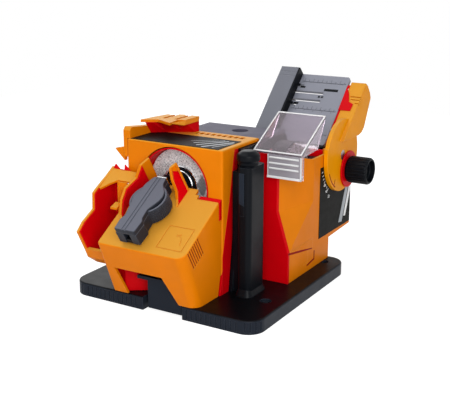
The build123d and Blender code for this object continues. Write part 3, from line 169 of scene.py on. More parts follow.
def add(tree: Tree, kind: str, links: dict | None = None,
        stops: list[tuple[float, Rgba]] | None = None, **settings: object) -> bpy.types.Node:
    """Add one shader node with its settings and its inputs.

    Args:
        tree: node tree of the material.
        kind: Blender's name of the node type.
        links: values or output sockets, by the name or number of the input.
        stops: positions and linear colours of a colour ramp, in rising order.
        settings: the node's own properties.
    Returns:
        The new node.
    """
    node = tree.nodes.new(kind)
    for key, value in settings.items():
        setattr(node, key, value)
    for key, value in (links or {}).items():
        if isinstance(value, Socket):
            tree.links.new(value, node.inputs[key])
        else:
            node.inputs[key].default_value = value
    if stops:
        first, last = node.color_ramp.elements
        first.position, first.color = stops[0]
        last.position, last.color = stops[-1]
        for position, colour in stops[1:-1]:
            node.color_ramp.elements.new(position).color = colour
    return node


def begin(name: str) -> tuple[bpy.types.Material, Tree, bpy.types.Node, Socket]:
    """Start a material with an empty tree.

    Args:
        name: the material's name.
    Returns:
        The material, its tree, its Principled shader and the Object coordinates.
    """
    material = bpy.data.materials.new(name)
    material.use_nodes = True
    tree = material.node_tree
    tree.nodes.clear()
    shader = add(tree, "ShaderNodeBsdfPrincipled")
    add(tree, "ShaderNodeOutputMaterial", {"Surface": shader.outputs[0]})
    return material, tree, shader, add(tree, "ShaderNodeTexCoord").outputs["Object"]


def edge_light(tree: Tree, radius_mm: float) -> tuple[Socket, Socket]:
    """Rounded normal of a moulded edge, and a mask that is one along the edge.

    Args:
        tree: node tree of the material.
        radius_mm: radius of the edge.
    Returns:
        The normal socket and the mask socket.
    """
    bevel = add(tree, "ShaderNodeBevel", {"Radius": radius_mm * MM}, samples=6)
    flat = add(tree, "ShaderNodeNewGeometry").outputs["Normal"]
    same = add(tree, "ShaderNodeVectorMath", {0: bevel.outputs[0], 1: flat}, operation="DOT_PRODUCT")
    mask = add(tree, RANGE, {"Value": same.outputs["Value"], "From Min": 0.995, "From Max": 0.80,
                             "To Min": 0.0, "To Max": 1.0})
    return bevel.outputs[0], mask.outputs[0]


# ---------------------------------------------------------------------------- finishes
@dataclass(frozen=True)
class MouldedPlastic:
    """ABS from a spark-eroded mould: satin skin with a fine even grain, lighter and glossier on its edges."""

    name: str
    colour: str
    edge: str                     # colour along rubbed edges
    roughness: float = 0.42
    gloss: float = 0.25           # specular level
    painted_top: str = ""               # colour that faces looking up fade to: painted light from above on lighter tops, painted shade on darker ones
    grain_mm: float = 1.1         # real grain is about 0.3 mm, drawn coarser so that it shows
    grain_depth: float = 0.018    # millimetres
    edge_mm: float = 0.7          # radius of the soft edges
    rub_mm: float = 5.0           # patches in which the edges are rubbed
    haze_mm: float = 14.0         # patches of more and less gloss, as hands leave them
    mottle_mm: float = 34.0       # width over which the colour wanders
    mottle: float = 0.05          # share by which it does

    def build(self) -> bpy.types.Material:
        """Make the material.

        Returns:
            The new material.
        """
        material, tree, shader, where = begin(self.name)
        normal, mask = edge_light(tree, self.edge_mm)
        base = linear(self.colour)
        wander = add(tree, NOISE, {"Vector": where, "Scale": per(self.mottle_mm), "Detail": 3})
        body = add(tree, RAMP, {0: wander.outputs[0]},
                   [(0.3, shade(base, 1 - self.mottle)), (0.7, shade(base, 1 + self.mottle))]).outputs[0]
        # painted light and shade by facing: faces that look up fade to another colour, lighter or darker than
        # their sides
        if self.painted_top:
            side = add(tree, "ShaderNodeSeparateXYZ", {0: add(tree, "ShaderNodeTexCoord").outputs["Normal"]})
            up = add(tree, RANGE, {"Value": side.outputs[2], "From Min": 0.25, "From Max": 0.85,
                                   "To Min": 0.0, "To Max": 1.0})
            body = add(tree, MIX, {0: up.outputs[0], 6: body, 7: linear(self.painted_top)},
                       data_type="RGBA").outputs[2]
        patches = add(tree, NOISE, {"Vector": where, "Scale": per(self.rub_mm), "Detail": 3})
        wear = add(tree, "ShaderNodeMath", {0: mask, 1: patches.outputs[0]}, operation="MULTIPLY")
        worn = add(tree, MIX, {0: wear.outputs[0], 6: body, 7: linear(self.edge)}, data_type="RGBA")
        tree.links.new(worn.outputs[2], shader.inputs["Base Color"])
        cloud = add(tree, NOISE, {"Vector": where, "Scale": per(self.haze_mm), "Detail": 4})
        haze = add(tree, RANGE, {"Value": cloud.outputs[0], "From Min": 0.3, "From Max": 0.7,
                                 "To Min": self.roughness - 0.05, "To Max": self.roughness + 0.06})
        tree.links.new(haze.outputs[0], shader.inputs["Roughness"])
        pits = add(tree, NOISE, {"Vector": where, "Scale": per(self.grain_mm), "Detail": 3, "Roughness": 0.6})
        grain = add(tree, "ShaderNodeBump", {"Height": pits.outputs[0], "Normal": normal, "Strength": 1.0,
                                             "Distance": self.grain_depth * MM})
        tree.links.new(grain.outputs[0], shader.inputs["Normal"])
        shader.inputs["IOR"].default_value = 1.53
        shader.inputs["Specular IOR Level"].default_value = self.gloss
        return material


@dataclass(frozen=True)
class BondedGrit:
    """Vitrified aluminium oxide: pale and grey grains packed edge to edge, with dark pores between them."""

    name: str
    pale: str = "D2D3D4"
    mid: str = "A3A4A6"
    dark: str = "66686B"
    glint: str = "E9E9E8"         # the few grains that catch the light
    grit_mm: float = 0.8          # grit 120 is 0.12 mm; drawn coarser so that single grains show
    pore_mm: float = 0.25         # depth between the grains
    cloud_mm: float = 9.0         # patches where the wheel is loaded with swarf
    worn_at: tuple[float, float, float] | None = None       # middle of a glazed patch, in millimetres
    worn_mm: tuple[float, float, float] = (5.0, 20.0, 9.0)  # its half widths
    worn: str = "55575A"
    ragged_mm: float = 7.0        # bites along the patch's outline

    def build(self) -> bpy.types.Material:
        """Make the material.

        Returns:
            The new material.
        """
        material, tree, shader, where = begin(self.name)
        cell = add(tree, "ShaderNodeTexVoronoi", {"Vector": where, "Scale": per(self.grit_mm)}, feature="F1")
        value = add(tree, "ShaderNodeSeparateColor", {0: cell.outputs["Color"]})
        grains = add(tree, RAMP, {0: value.outputs[0]}, [(0.0, linear(self.dark)), (0.10, linear(self.mid)),
                                                         (0.4, linear(self.pale)), (1.0, linear(self.glint))])
        patches = add(tree, NOISE, {"Vector": where, "Scale": per(self.cloud_mm), "Detail": 4})
        cloud = add(tree, RAMP, {0: patches.outputs[0]}, [(0.35, grey(0.78)), (0.65, grey(1.06))])
        body = add(tree, MIX, {0: 1.0, 6: grains.outputs[0], 7: cloud.outputs[0]}, data_type="RGBA",
                   blend_type="MULTIPLY").outputs[2]
        if self.worn_at:
            scale = tuple(1 / (v * MM) for v in self.worn_mm)
            shift = tuple(-p * MM * s for p, s in zip(self.worn_at, scale))
            place = add(tree, "ShaderNodeMapping", {"Vector": where, "Location": shift, "Scale": scale})
            ball = add(tree, "ShaderNodeVectorMath", {0: place.outputs[0]}, operation="LENGTH")
            bites = add(tree, NOISE, {"Vector": where, "Scale": per(self.ragged_mm), "Detail": 4})
            reach = add(tree, "ShaderNodeMath", {0: ball.outputs["Value"], 1: bites.outputs[0]},
                        operation="ADD")
            patch = add(tree, RANGE, {"Value": reach.outputs[0], "From Min": 1.55, "From Max": 1.35,
                                      "To Min": 0.0, "To Max": 0.85})
            body = add(tree, MIX, {0: patch.outputs[0], 6: body, 7: linear(self.worn)},
                       data_type="RGBA").outputs[2]
        tree.links.new(body, shader.inputs["Base Color"])
        bump = add(tree, "ShaderNodeBump", {"Height": cell.outputs["Distance"], "Distance": self.pore_mm * MM,
                                            "Strength": 1.0})
        tree.links.new(bump.outputs[0], shader.inputs["Normal"])
        shader.inputs["Roughness"].default_value = 0.88
        shader.inputs["IOR"].default_value = 1.6
        shader.inputs["Specular IOR Level"].default_value = 0.3
        return material


@dataclass(frozen=True)
class TurnedMetal:
    """Steel or bronze turned on a lathe or cold drawn: fine lines from the tool, slightly brighter edges."""

    name: str
    colour: str
    roughness: float = 0.34
    line_mm: float = 0.5          # real tool marks are 0.1 mm apart, drawn coarser so that they show
    line_depth: float = 0.02      # millimetres
    stretch: tuple[float, float, float] = (1.0, 1.0, 14.0)
    edge_mm: float = 0.35         # radius of the broken edges
    stain_mm: float = 8.0         # patches of a thin oxide skin

    def build(self) -> bpy.types.Material:
        """Make the material.

        Returns:
            The new material.
        """
        material, tree, shader, where = begin(self.name)
        normal, mask = edge_light(tree, self.edge_mm)
        base = linear(self.colour)
        lines = add(tree, "ShaderNodeMapping", {"Vector": where, "Scale": tuple(1 / s for s in self.stretch)})
        marks = add(tree, NOISE, {"Vector": lines.outputs[0], "Scale": per(self.line_mm), "Detail": 3,
                                  "Roughness": 0.6}).outputs[0]
        patches = add(tree, NOISE, {"Vector": where, "Scale": per(self.stain_mm), "Detail": 3})
        stain = add(tree, RAMP, {0: patches.outputs[0]}, [(0.3, shade(base, 0.86)), (0.7, base)])
        body = add(tree, MIX, {0: mask, 6: stain.outputs[0], 7: grey(0.85)}, data_type="RGBA")
        tree.links.new(body.outputs[2], shader.inputs["Base Color"])
        gloss = add(tree, RANGE, {"Value": marks, "To Min": self.roughness - 0.08,
                                  "To Max": self.roughness + 0.1})
        tree.links.new(gloss.outputs[0], shader.inputs["Roughness"])
        bump = add(tree, "ShaderNodeBump", {"Height": marks, "Normal": normal,
                                            "Distance": self.line_depth * MM})
        tree.links.new(bump.outputs[0], shader.inputs["Normal"])
        shader.inputs["Metallic"].default_value = 1.0
        return material


@dataclass(frozen=True)
class ClearShield:
    """Injection-moulded polycarbonate: water clear, with faint flow lines and fine rub marks."""

    name: str = "clear_polycarbonate_moulded"
    tint: str = "F3F4F8"
    roughness: float = 0.03
    milk: float = 0.0             # share of light that the dusty or frosted skin scatters
    rub_mm: float = 1.2           # real rub marks are hair-thin, drawn coarser so that they show
    rub_stretch: tuple[float, float, float] = (1.0, 0.12, 0.3)
    rubbed: float = 0.16          # roughness inside a rub mark
    flow_mm: float = 12.0         # width of the lines that the melt leaves
    flow_depth: float = 0.15      # millimetres

    def build(self) -> bpy.types.Material:
        """Make the material.

        Returns:
            The new material.
        """
        material, tree, shader, where = begin(self.name)
        shader.inputs["Base Color"].default_value = linear(self.tint)
        rub = add(tree, "ShaderNodeMapping", {"Vector": where, "Scale": self.rub_stretch})
        marks = add(tree, NOISE, {"Vector": rub.outputs[0], "Scale": per(self.rub_mm), "Detail": 4})
        haze = add(tree, RANGE, {"Value": marks.outputs[0], "From Min": 0.45, "From Max": 0.8,
                                 "To Min": self.roughness, "To Max": self.rubbed})
        tree.links.new(haze.outputs[0], shader.inputs["Roughness"])
        lines = add(tree, NOISE, {"Vector": where, "Scale": per(self.flow_mm)})
        flow = add(tree, "ShaderNodeBump", {"Height": lines.outputs[0], "Distance": self.flow_depth * MM})
        tree.links.new(flow.outputs[0], shader.inputs["Normal"])
        shader.inputs["Transmission Weight"].default_value = 1.0 - self.milk
        shader.inputs["IOR"].default_value = 1.49
        return material


@dataclass(frozen=True)
class PrintedFoil:
    """Self-adhesive polyester foil: smooth dark print with a slight orange peel and soft gloss."""

    name: str
    colour: str
    roughness: float = 0.5
    fade_mm: float = 20.0         # patches where the ink lies thinner
    peel_mm: float = 2.4          # waves of the orange peel
    peel_depth: float = 0.02      # millimetres
    haze_mm: float = 6.0          # patches of more and less gloss

    def build(self) -> bpy.types.Material:
        """Make the material.

        Returns:
            The new material.
        """
        material, tree, shader, where = begin(self.name)
        base = linear(self.colour)
        thin = tuple(min(1.0, c * 1.25 + 0.002) for c in base[:3]) + (1.0,)
        patches = add(tree, NOISE, {"Vector": where, "Scale": per(self.fade_mm), "Detail": 4})
        body = add(tree, RAMP, {0: patches.outputs[0]}, [(0.3, base), (0.75, thin)])
        tree.links.new(body.outputs[0], shader.inputs["Base Color"])
        waves = add(tree, NOISE, {"Vector": where, "Scale": per(self.peel_mm)})
        peel = add(tree, "ShaderNodeBump", {"Height": waves.outputs[0], "Distance": self.peel_depth * MM})
        tree.links.new(peel.outputs[0], shader.inputs["Normal"])
        cloud = add(tree, NOISE, {"Vector": where, "Scale": per(self.haze_mm), "Detail": 3})
        haze = add(tree, RANGE, {"Value": cloud.outputs[0], "To Min": self.roughness - 0.06,
                                 "To Max": self.roughness + 0.1})
        tree.links.new(haze.outputs[0], shader.inputs["Roughness"])
        shader.inputs["IOR"].default_value = 1.58
        shader.inputs["Specular IOR Level"].default_value = 0.04
        return material


@dataclass(frozen=True)
class DenseSolid:
    """Rubber or fired ceramic: one even body colour, faint specks and a dry or waxy skin."""

    name: str
    colour: str
    roughness: float
    speck_mm: float = 1.0
    depth_mm: float = 0.03
    edge_mm: float = 0.4          # radius of the edges

    def build(self) -> bpy.types.Material:
        """Make the material.

        Returns:
            The new material.
        """
        material, tree, shader, where = begin(self.name)
        base = linear(self.colour)
        specks = add(tree, NOISE, {"Vector": where, "Scale": per(self.speck_mm * 2), "Detail": 4})
        body = add(tree, RAMP, {0: specks.outputs[0]}, [(0.35, shade(base, 0.8)), (0.6, base)])
        tree.links.new(body.outputs[0], shader.inputs["Base Color"])
        normal, _ = edge_light(tree, self.edge_mm)
        pits = add(tree, NOISE, {"Vector": where, "Scale": per(self.speck_mm), "Detail": 3})
        bump = add(tree, "ShaderNodeBump", {"Height": pits.outputs[0], "Normal": normal,
                                            "Distance": self.depth_mm * MM})
        tree.links.new(bump.outputs[0], shader.inputs["Normal"])
        shader.inputs["Roughness"].default_value = self.roughness
        shader.inputs["IOR"].default_value = 1.5
        return material


Finish = MouldedPlastic | BondedGrit | TurnedMetal | ClearShield | PrintedFoil | DenseSolid

FINISHES: dict[Slot, Finish] = {
    # blue-grey housing plastic, painted lighter on top as a sheen from above
    Slot.CHARCOAL: MouldedPlastic("charcoal_abs_moulded", "23262E", "6C707A", 0.45, gloss=0.15, painted_top="62646F"),
    # small dark fittings, smoother, nearly without colour
    Slot.BLACK: MouldedPlastic("black_abs_moulded", "090C11", "30343C", 0.36, gloss=0.08),
    # strong orange, painted paler where it faces up as a sheen from above
    Slot.ORANGE: MouldedPlastic("orange_abs_moulded", "E07A00", "F2A43C", 0.42, gloss=0.07, painted_top="DA9832"),
    # signal red, even and satin
    Slot.RED: MouldedPlastic("red_abs_moulded", "D0000C", "E8302C", 0.40, gloss=0.06),
    # neutral grey, the calmest of the plastics
    Slot.GREY: MouldedPlastic("grey_abs_moulded", "858792", "ABADB6", 0.42),
    # soft pads: dry, dark and without a highlight
    Slot.RUBBER: DenseSolid("pad_rubber_pressed", "232427", 0.8),
    # fine white grit: bright, rough and speckled
    Slot.GRIT: BondedGrit("alumina_vitrified"),
    # tool marks that draw the highlight out into a band
    Slot.STEEL: TurnedMetal("steel_turned", "A9ACB0"),
    # ground and polished: a small sharp highlight
    Slot.BRIGHT: TurnedMetal("steel_polished", "DADCDE", 0.16),
    # pressed powder: warm, dull and slightly grainy
    Slot.BRONZE: TurnedMetal("bronze_sintered", "B08D4C", 0.45),
    # fired and ground: a waxy white
    Slot.CERAMIC: DenseSolid("ceramic_ground", "E9E6DE", 0.45, 0.8, 0.01),
    # coarser and greyer grit than the wheels'
    Slot.DRESSER: BondedGrit("dresser_silicon_carbide", "8A8782", "6E6B66", "3F3D3A"),
    # near black print with a soft sheen
    Slot.FOIL: PrintedFoil("foil_polyester_dark", "0B0A08"),
    # water-clear sheet seen by its edges and reflections
    Slot.CLEAR: ClearShield(),
}

# polished mould: dark flanks, and a deep black top that is painted shade
GLOSSY_BASE = MouldedPlastic("charcoal_abs_glossy", "1D222B", "4A505C", 0.34, gloss=0.07, painted_top="07080B")
# red moulding deep in a slot: the same plastic with painted shade, dull and dark
PAINTED_SHADE_RED = MouldedPlastic("red_abs_painted_shade", "8A0A08", "9A2020", 0.5, gloss=0.05)
# inset panel: a cool cast on near black
SLATE_BLUE = MouldedPlastic("slate_blue_abs_moulded", "1C232D", "3C4552", 0.4, gloss=0.10)
# screen printing on the foils: dull silver and a bright white
SILVER_INK = PrintedFoil("foil_print_silver", "A4A8AC", 0.3)
WHITE_INK = PrintedFoil("foil_print_white", "F0F0EE", 0.45)
# one shield, three skins: a thin film of dust, an etched front, and milky white rims that paint the highlights
# along its edges
DUSTY = ClearShield("polycarbonate_dusty", "EBDDE8", 0.06, 0.06)
FROSTED = ClearShield("polycarbonate_frosted", "9C979E", 0.12, 0.8)
PAINTED_HIGHLIGHT_RIM = ClearShield("polycarbonate_rim_painted_highlight", "FFFFFF", 0.06, 0.62)

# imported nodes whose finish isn't their slot's
OWN_FINISH: dict[str, Finish | Slot] = {
    # white grit with a dark glazed patch where drills have run
    "drill_wheel": BondedGrit("alumina_vitrified_worn", worn_at=(12.5, -40.0, 107.5)),
    # tougher brown grit: muddy and darker, seen through the shield
    "chisel_wheel": BondedGrit("alumina_brown", "8A7F7E", "6C6163", "3C3436"),
    # blackened like the small fittings round them
    "chisel_flanges": Slot.BLACK,
    # both carry the polished mould's gloss
    "base_plate": GLOSSY_BASE,
    "front_rail": GLOSSY_BASE,
    # dull lid that greys to lilac in the light
    "motor_top": MouldedPlastic("lilac_grey_abs_moulded", "565463", "8A8896", 0.5, gloss=0.06),
    # oil-blackened: dark blue steel that still mirrors
    "collet": TurnedMetal("steel_blackened", "2B3440", 0.3),
    # a shade darker than the table it slides on
    "fence": MouldedPlastic("slate_abs_moulded", "6E7079", "9A9CA4", 0.4),
    # thinner wall that lets more light through: yellower than the housings, and painted paler where it faces up
    # as a sheen from above
    "swing_arm": MouldedPlastic("amber_abs_moulded", "EC9600", "F8B84A", 0.42, gloss=0.07, painted_top="DA9832"),
}


class Shop:
    """Materials, each made once, and the steps that turn a mesh into a finished piece."""

    def __init__(self, frame: dict) -> None:
        """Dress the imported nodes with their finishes.
        """
        self.nodes = frame["nodes"]
        self.made: dict[str, bpy.types.Material] = {}
        for part in frame["record"]["subparts"]:
            self.dress(part["node"], Slot(part["material_slot"]))
        for node, finish in OWN_FINISH.items():
            self.dress(node, finish)

    def material(self, finish: Finish | Slot) -> bpy.types.Material:
        """Material of a finish or of a slot.

        Args:
            finish: the finish, or the slot whose finish it is.
        Returns:
            The material, made when it is first asked for.
        """
        recipe = FINISHES[finish] if isinstance(finish, Slot) else finish
        if recipe.name not in self.made:
            self.made[recipe.name] = recipe.build()
        return self.made[recipe.name]

    def dress(self, node: str, finish: Finish | Slot) -> None:
        """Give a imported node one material.

        Args:
            node: the node's name.
            finish: its finish, or a slot's.
        """
        mesh = self.nodes[node].data
        mesh.materials.clear()
        mesh.materials.append(self.material(finish))

    def place(self, piece: bpy.types.Object, body: str, slot: Slot, finish: Finish | None = None,
              replaces: tuple[str, ...] = ()) -> None:
        """Finish a piece: material, body and the nodes that it stands for.

        Args:
            piece: the object, with its place in its mesh.
            body: the CAD body that it rides on.
            slot: the record's slot.
            finish: a finish other than the slot's own.
            replaces: CAD nodes that it hides.
        """
        piece.data.materials.clear()
        piece.data.materials.append(self.material(finish or slot))
        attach(piece, body)
        if replaces:
            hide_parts(*replaces)
        LOG.info("%s rides on %s", piece.name, body)


# ---------------------------------------------------------------------------- surfaces
def skin(name: str, points: Array, wrap_v: bool = False) -> bpy.types.Object:
    """Closed mesh over a grid whose last row joins its first; poles are merged and faces point outwards.

    Args:
        name: the object's name.
        points: grid of shape (u, v, 3) in millimetres.
        wrap_v: join the last column to the first too.
    Returns:
        The new object.
    """
    nu, nv = points.shape[:2]
    index = np.arange(nu * nv).reshape(nu, nv)
    rows = np.vstack([index, index[:1]])
    rows = np.hstack([rows, rows[:, :1]]) if wrap_v else rows
    faces = np.stack([rows[:-1, :-1], rows[1:, :-1], rows[1:, 1:], rows[:-1, 1:]], -1).reshape(-1, 4)
    return solid(name, points.reshape(-1, 3), faces)


def solid(name: str, points: Array, faces: Array | list) -> bpy.types.Object:
    """Object from points and faces; doubles are merged before the normals are recalculated.

    Args:
        name: the object's name.
        points: (n, 3) in millimetres.
        faces: rows of point numbers.
    Returns:
        The new object.
    """
    mesh = bpy.data.meshes.new(name)
    mesh.from_pydata((np.asarray(points) * MM).tolist(), [], [list(map(int, face)) for face in faces])
    work = bmesh.new()
    work.from_mesh(mesh)
    bmesh.ops.remove_doubles(work, verts=work.verts, dist=MERGE * MM)
    bmesh.ops.recalc_face_normals(work, faces=work.faces)
    work.to_mesh(mesh)
    work.free()
    mesh.polygons.foreach_set("use_smooth", np.ones(len(mesh.polygons), dtype=bool))
    mesh.set_sharp_from_angle(angle=math.radians(CREASE))
    piece = bpy.data.objects.new(name, mesh)
    bpy.context.collection.objects.link(piece)
    return piece


def turned(profile: Array, axis: Axis, centre: tuple[float, float, float], steps: int = 96,
           flute: Array | None = None) -> Array:
    """Grid of a lathe piece: radius and height carried round an axis, with an optional fluting.

    Args:
        profile: (v, 2) radius and height along the axis, closed at both ends by radius zero.
        axis: direction of the axis.
        centre: point on the axis from which the height counts.
        steps: points round the axis.
        flute: (steps, v) change of radius.
    Returns:
        Grid of shape (steps, v, 3).
    """
    angle = np.linspace(0, 2 * np.pi, steps, endpoint=False)[:, None]
    radius = np.repeat(profile[None, :, 0], steps, 0)
    if flute is not None:
        radius = np.maximum(radius + flute, 0)
    height = np.repeat(profile[None, :, 1], steps, 0)
    flat = [radius * np.cos(angle), radius * np.sin(angle), height]
    order = {Axis.X: (2, 0, 1), Axis.Y: (1, 2, 0), Axis.Z: (0, 1, 2)}[axis]
    return np.stack([flat[k] for k in order], -1) + np.asarray(centre)


def rounded(points: Array | list | tuple, radius: float, steps: int = 5, closed: bool = False) -> Array:
    """Path with each corner replaced by a quadratic curve, whose middle control point is the corner.

    Args:
        points: corners of the path.
        radius: distance from the corner at which the curve starts, at most half a side.
        steps: points on each curve.
        closed: the path runs on from its last corner to its first, and that corner is rounded too.
    Returns:
        Path of shape (n, 2).
    """
    path = np.asarray(points, dtype=float)
    ring = np.vstack([path[-1:], path, path[:1]]) if closed else path
    out = [] if closed else [path[:1]]
    t = np.linspace(0, 1, steps)[:, None]
    for before, corner, after in zip(ring[:-2], ring[1:-1], ring[2:]):
        sides = [(side, max(np.linalg.norm(side), 1e-9)) for side in (before - corner, after - corner)]
        a, b = (corner + side * (min(radius, size / 2) / size) for side, size in sides)
        out.append((1 - t) ** 2 * a + 2 * t * (1 - t) * corner + t ** 2 * b)
    return np.vstack(out if closed else out + [path[-1:]])


def inset(outline: Array, distance: float) -> Array:
    """Closed outline moved inwards: each corner goes along the mitre of its two edges' normals.

    Args:
        outline: (n, 2) corners, in either direction.
        distance: how far each edge moves.
    Returns:
        The moved corners.
    """
    after = np.roll(outline, -1, 0)
    turn = np.sign(np.sum(outline[:, 0] * after[:, 1] - after[:, 0] * outline[:, 1]))
    edge = after - outline
    edge /= np.maximum(np.linalg.norm(edge, axis=1, keepdims=True), 1e-9)
    normal = np.column_stack([-edge[:, 1], edge[:, 0]]) * turn
    last = np.roll(normal, 1, 0)
    mitre = (normal + last) / np.maximum(1 + np.sum(normal * last, 1, keepdims=True), 0.5)
    return outline + mitre * distance


def layered(outline: Array, rings: list[tuple[float, float]]) -> Body:
    """Body made by carrying a closed outline up through rings, with flat ends.

    Args:
        outline: (n, 2) closed outline.
        rings: height and inset of each ring, from the underside to the top.
    Returns:
        Points (m, 3) in the outline's own frame, and faces.
    """
    n = len(outline)
    points = np.vstack([np.column_stack([inset(outline, d), np.full(n, z)]) for z, d in rings])
    step = np.arange(n)
    after = np.roll(step, -1)
    faces = [quad.tolist() for k in range(len(rings) - 1)
             for quad in np.stack([step + k * n, after + k * n, after + (k + 1) * n, step + (k + 1) * n], -1)]
    faces += [step[::-1].tolist(), (step + (len(rings) - 1) * n).tolist()]
    return points, faces


def slab(outline: Array, low: float, high: float, bevel: float = 0.0) -> Body:
    """Flat plate over an outline, from low to high, with a chamfer of one size round its top."""
    return layered(outline, [(low, 0), (high - bevel, 0), (high, bevel)] if bevel else [(low, 0), (high, 0)])


def cut(outline: Array, limit: float, keep: int) -> Array:
    """Part of an outline on one side of a line across it.

    Args:
        outline: (n, 2) closed outline.
        limit: first coordinate of the line.
        keep: 1 for the side above the limit, -1 for the side below it.
    Returns:
        The part's outline.
    """
    out = []
    for here, there in zip(outline, np.roll(outline, -1, 0)):
        inside, follows = (here[0] - limit) * keep >= 0, (there[0] - limit) * keep >= 0
        if inside:
            out.append(here)
        if inside != follows:
            out.append(here + (there - here) * (limit - here[0]) / (there[0] - here[0]))
    return np.array(out)


def strip(start: tuple[float, float], end: tuple[float, float], width: float) -> Array:
    """Outline of a straight strip: each end moved to both sides by half the width, square to the run.

    Args:
        start: middle of one end.
        end: middle of the other.
        width: its width.
    Returns:
        Outline of shape (4, 2).
    """
    a, b = np.array(start, dtype=float), np.array(end, dtype=float)
    along = (b - a) / np.linalg.norm(b - a)
    side = np.array([-along[1], along[0]]) * width / 2
    return np.array([a - side, b - side, b + side, a + side])


def arc(centre: tuple[float, float], radius: float, start: float, end: float, width: float,
        steps: int = 24) -> Array:
    """Outline of a curved strip: points on an outer circle one way and on an inner circle back.

    Args:
        centre: middle of both circles.
        radius: of the strip's middle line.
        start: angle of one end, in degrees.
        end: angle of the other.
        width: its width.
        steps: points on each circle.
    Returns:
        Outline of shape (2 * steps, 2).
    """
    angle = np.radians(np.linspace(start, end, steps))
    ring = np.column_stack([np.cos(angle), np.sin(angle)])
    return np.vstack([ring * (radius + width / 2), ring[::-1] * (radius - width / 2)]) + np.array(centre)


def block(x0: float, x1: float, y0: float, y1: float) -> Array:
    """Outline of a rectangle."""
    return np.array([(x0, y0), (x1, y0), (x1, y1), (x0, y1)], dtype=float)


def joined(name: str, parts: list[Body]) -> bpy.types.Object:
    """One object from several closed bodies that stay apart.

    Args:
        name: the object's name.
        parts: points and faces of each body.
    Returns:
        The new object.
    """
    points, faces, count = [], [], 0
    for body, sides in parts:
        points.append(body)
        faces += [[i + count for i in side] for side in sides]
        count += len(body)
    return solid(name, np.vstack(points), faces)


def sheet(corners: list[tuple[float, float, float]], thickness: float) -> Body:
    """Flat plate under corners that lie in one plane of any slope.

    Args:
        corners: corners of the upper face, anticlockwise as seen from above.
        thickness: measured square to the plane.
    Returns:
        Points (m, 3) in the frame, and faces.
    """
    top = np.array(corners, dtype=float)
    normal = np.cross(top[1] - top[0], top[2] - top[0])
    low = top - normal / np.linalg.norm(normal) * thickness
    n = len(top)
    faces = [[i, (i + 1) % n, (i + 1) % n + n, i + n] for i in range(n)]
    return np.vstack([top, low]), faces + [list(range(n)), list(range(2 * n - 1, n - 1, -1))]


def across(outline: Array | list | tuple, x0: float, x1: float) -> Body:
    """Prism along X over an outline given as depth and height."""
    points, faces = slab(np.array(outline, dtype=float), x0, x1)
    return on_right(points, 0.0), faces


def on_deck(points: Array) -> Array:
    """Points given across, up along and above the drill head's deck, moved into the frame."""
    return on_slope(points, DECK_Y, DECK_Z, DECK_SLOPE)


def on_table(points: Array) -> Array:
    """Points given across, up along and above the table, moved into the frame."""
    return on_slope(points, TABLE_Y, TABLE_Z, TABLE_SLOPE)


def on_slope(points: Array, y: float, z: float, degrees: float) -> Array:
    """Turn (across, along, above) points of a sloping plane into (x, y, z).

    Args:
        points: (..., 3) local points.
        y: depth of the plane's foot.
        z: height of the plane's foot.
        degrees: slope of the plane.
    Returns:
        Points in the frame, in millimetres.
    """
    c, s = math.cos(math.radians(degrees)), math.sin(math.radians(degrees))
    x, along, above = points[..., 0], points[..., 1], points[..., 2]
    return np.stack([x, y + along * c - above * s, z + along * s + above * c], -1)


def on_right(points: Array, x: float) -> Array:
    """Points given along Y, along Z and outwards, laid on a wall that faces right at x."""
    return np.stack([x + points[..., 2], points[..., 0], points[..., 1]], -1)


# ---------------------------------------------------------------------------- sub-assemblies
@dataclass
class Knob:
    """Fluted clamping knob with a recessed end."""

    radius: float = 13.6
    start: float = 86.8
    end: float = 110.0
    flutes: int = 22
    flute_depth: float = 0.85
    per_flute: int = 10                 # points round the axis for each flute
    recess_radius: float = 10.6
    recess_depth: float = 5.5
    boss_radius: float = 3.6            # raised middle of the recess
    boss_height: float = 0.8
    edge: float = 1.1                   # reach of the curve at each corner of the profile

    def build(self, shop: Shop) -> None:
        """Radius over the angle is the profile's radius less a flute, which fades towards both rims.

        Args:
            shop: finishes the piece.
        """
        r, a, b, q = self.radius, self.start, self.end, self.recess_radius
        floor = b - self.recess_depth
        boss = floor + self.boss_height
        rim = rounded([(NEAR_AXIS, a), (r - 1.4, a), (r, a + 2.2), (r, b - 1.6), (r - 1.2, b), (q + 0.4, b),
                       (q, floor), (self.boss_radius, floor), (self.boss_radius - 0.4, boss),
                       (NEAR_AXIS, boss)], self.edge)
        rim = np.vstack([rim, [[0.0, boss]]])
        rim[0, 0] = 0.0
        side = np.clip(rim[:, 0] - (r - 1.0), 0, 1)
        steps = self.flutes * self.per_flute
        angle = np.linspace(0, 2 * np.pi, steps, endpoint=False)
        groove = np.clip(np.cos(angle * self.flutes) - 0.25, 0, 1) / 0.75
        flute = -self.flute_depth * groove[:, None] * side[None, :]
        piece = skin("knob_fluted", turned(rim, Axis.X, (0, KNOB_Y, KNOB_Z), steps, flute))
        shop.place(piece, "knob", Slot.BLACK, replaces=("tilt_knob",))


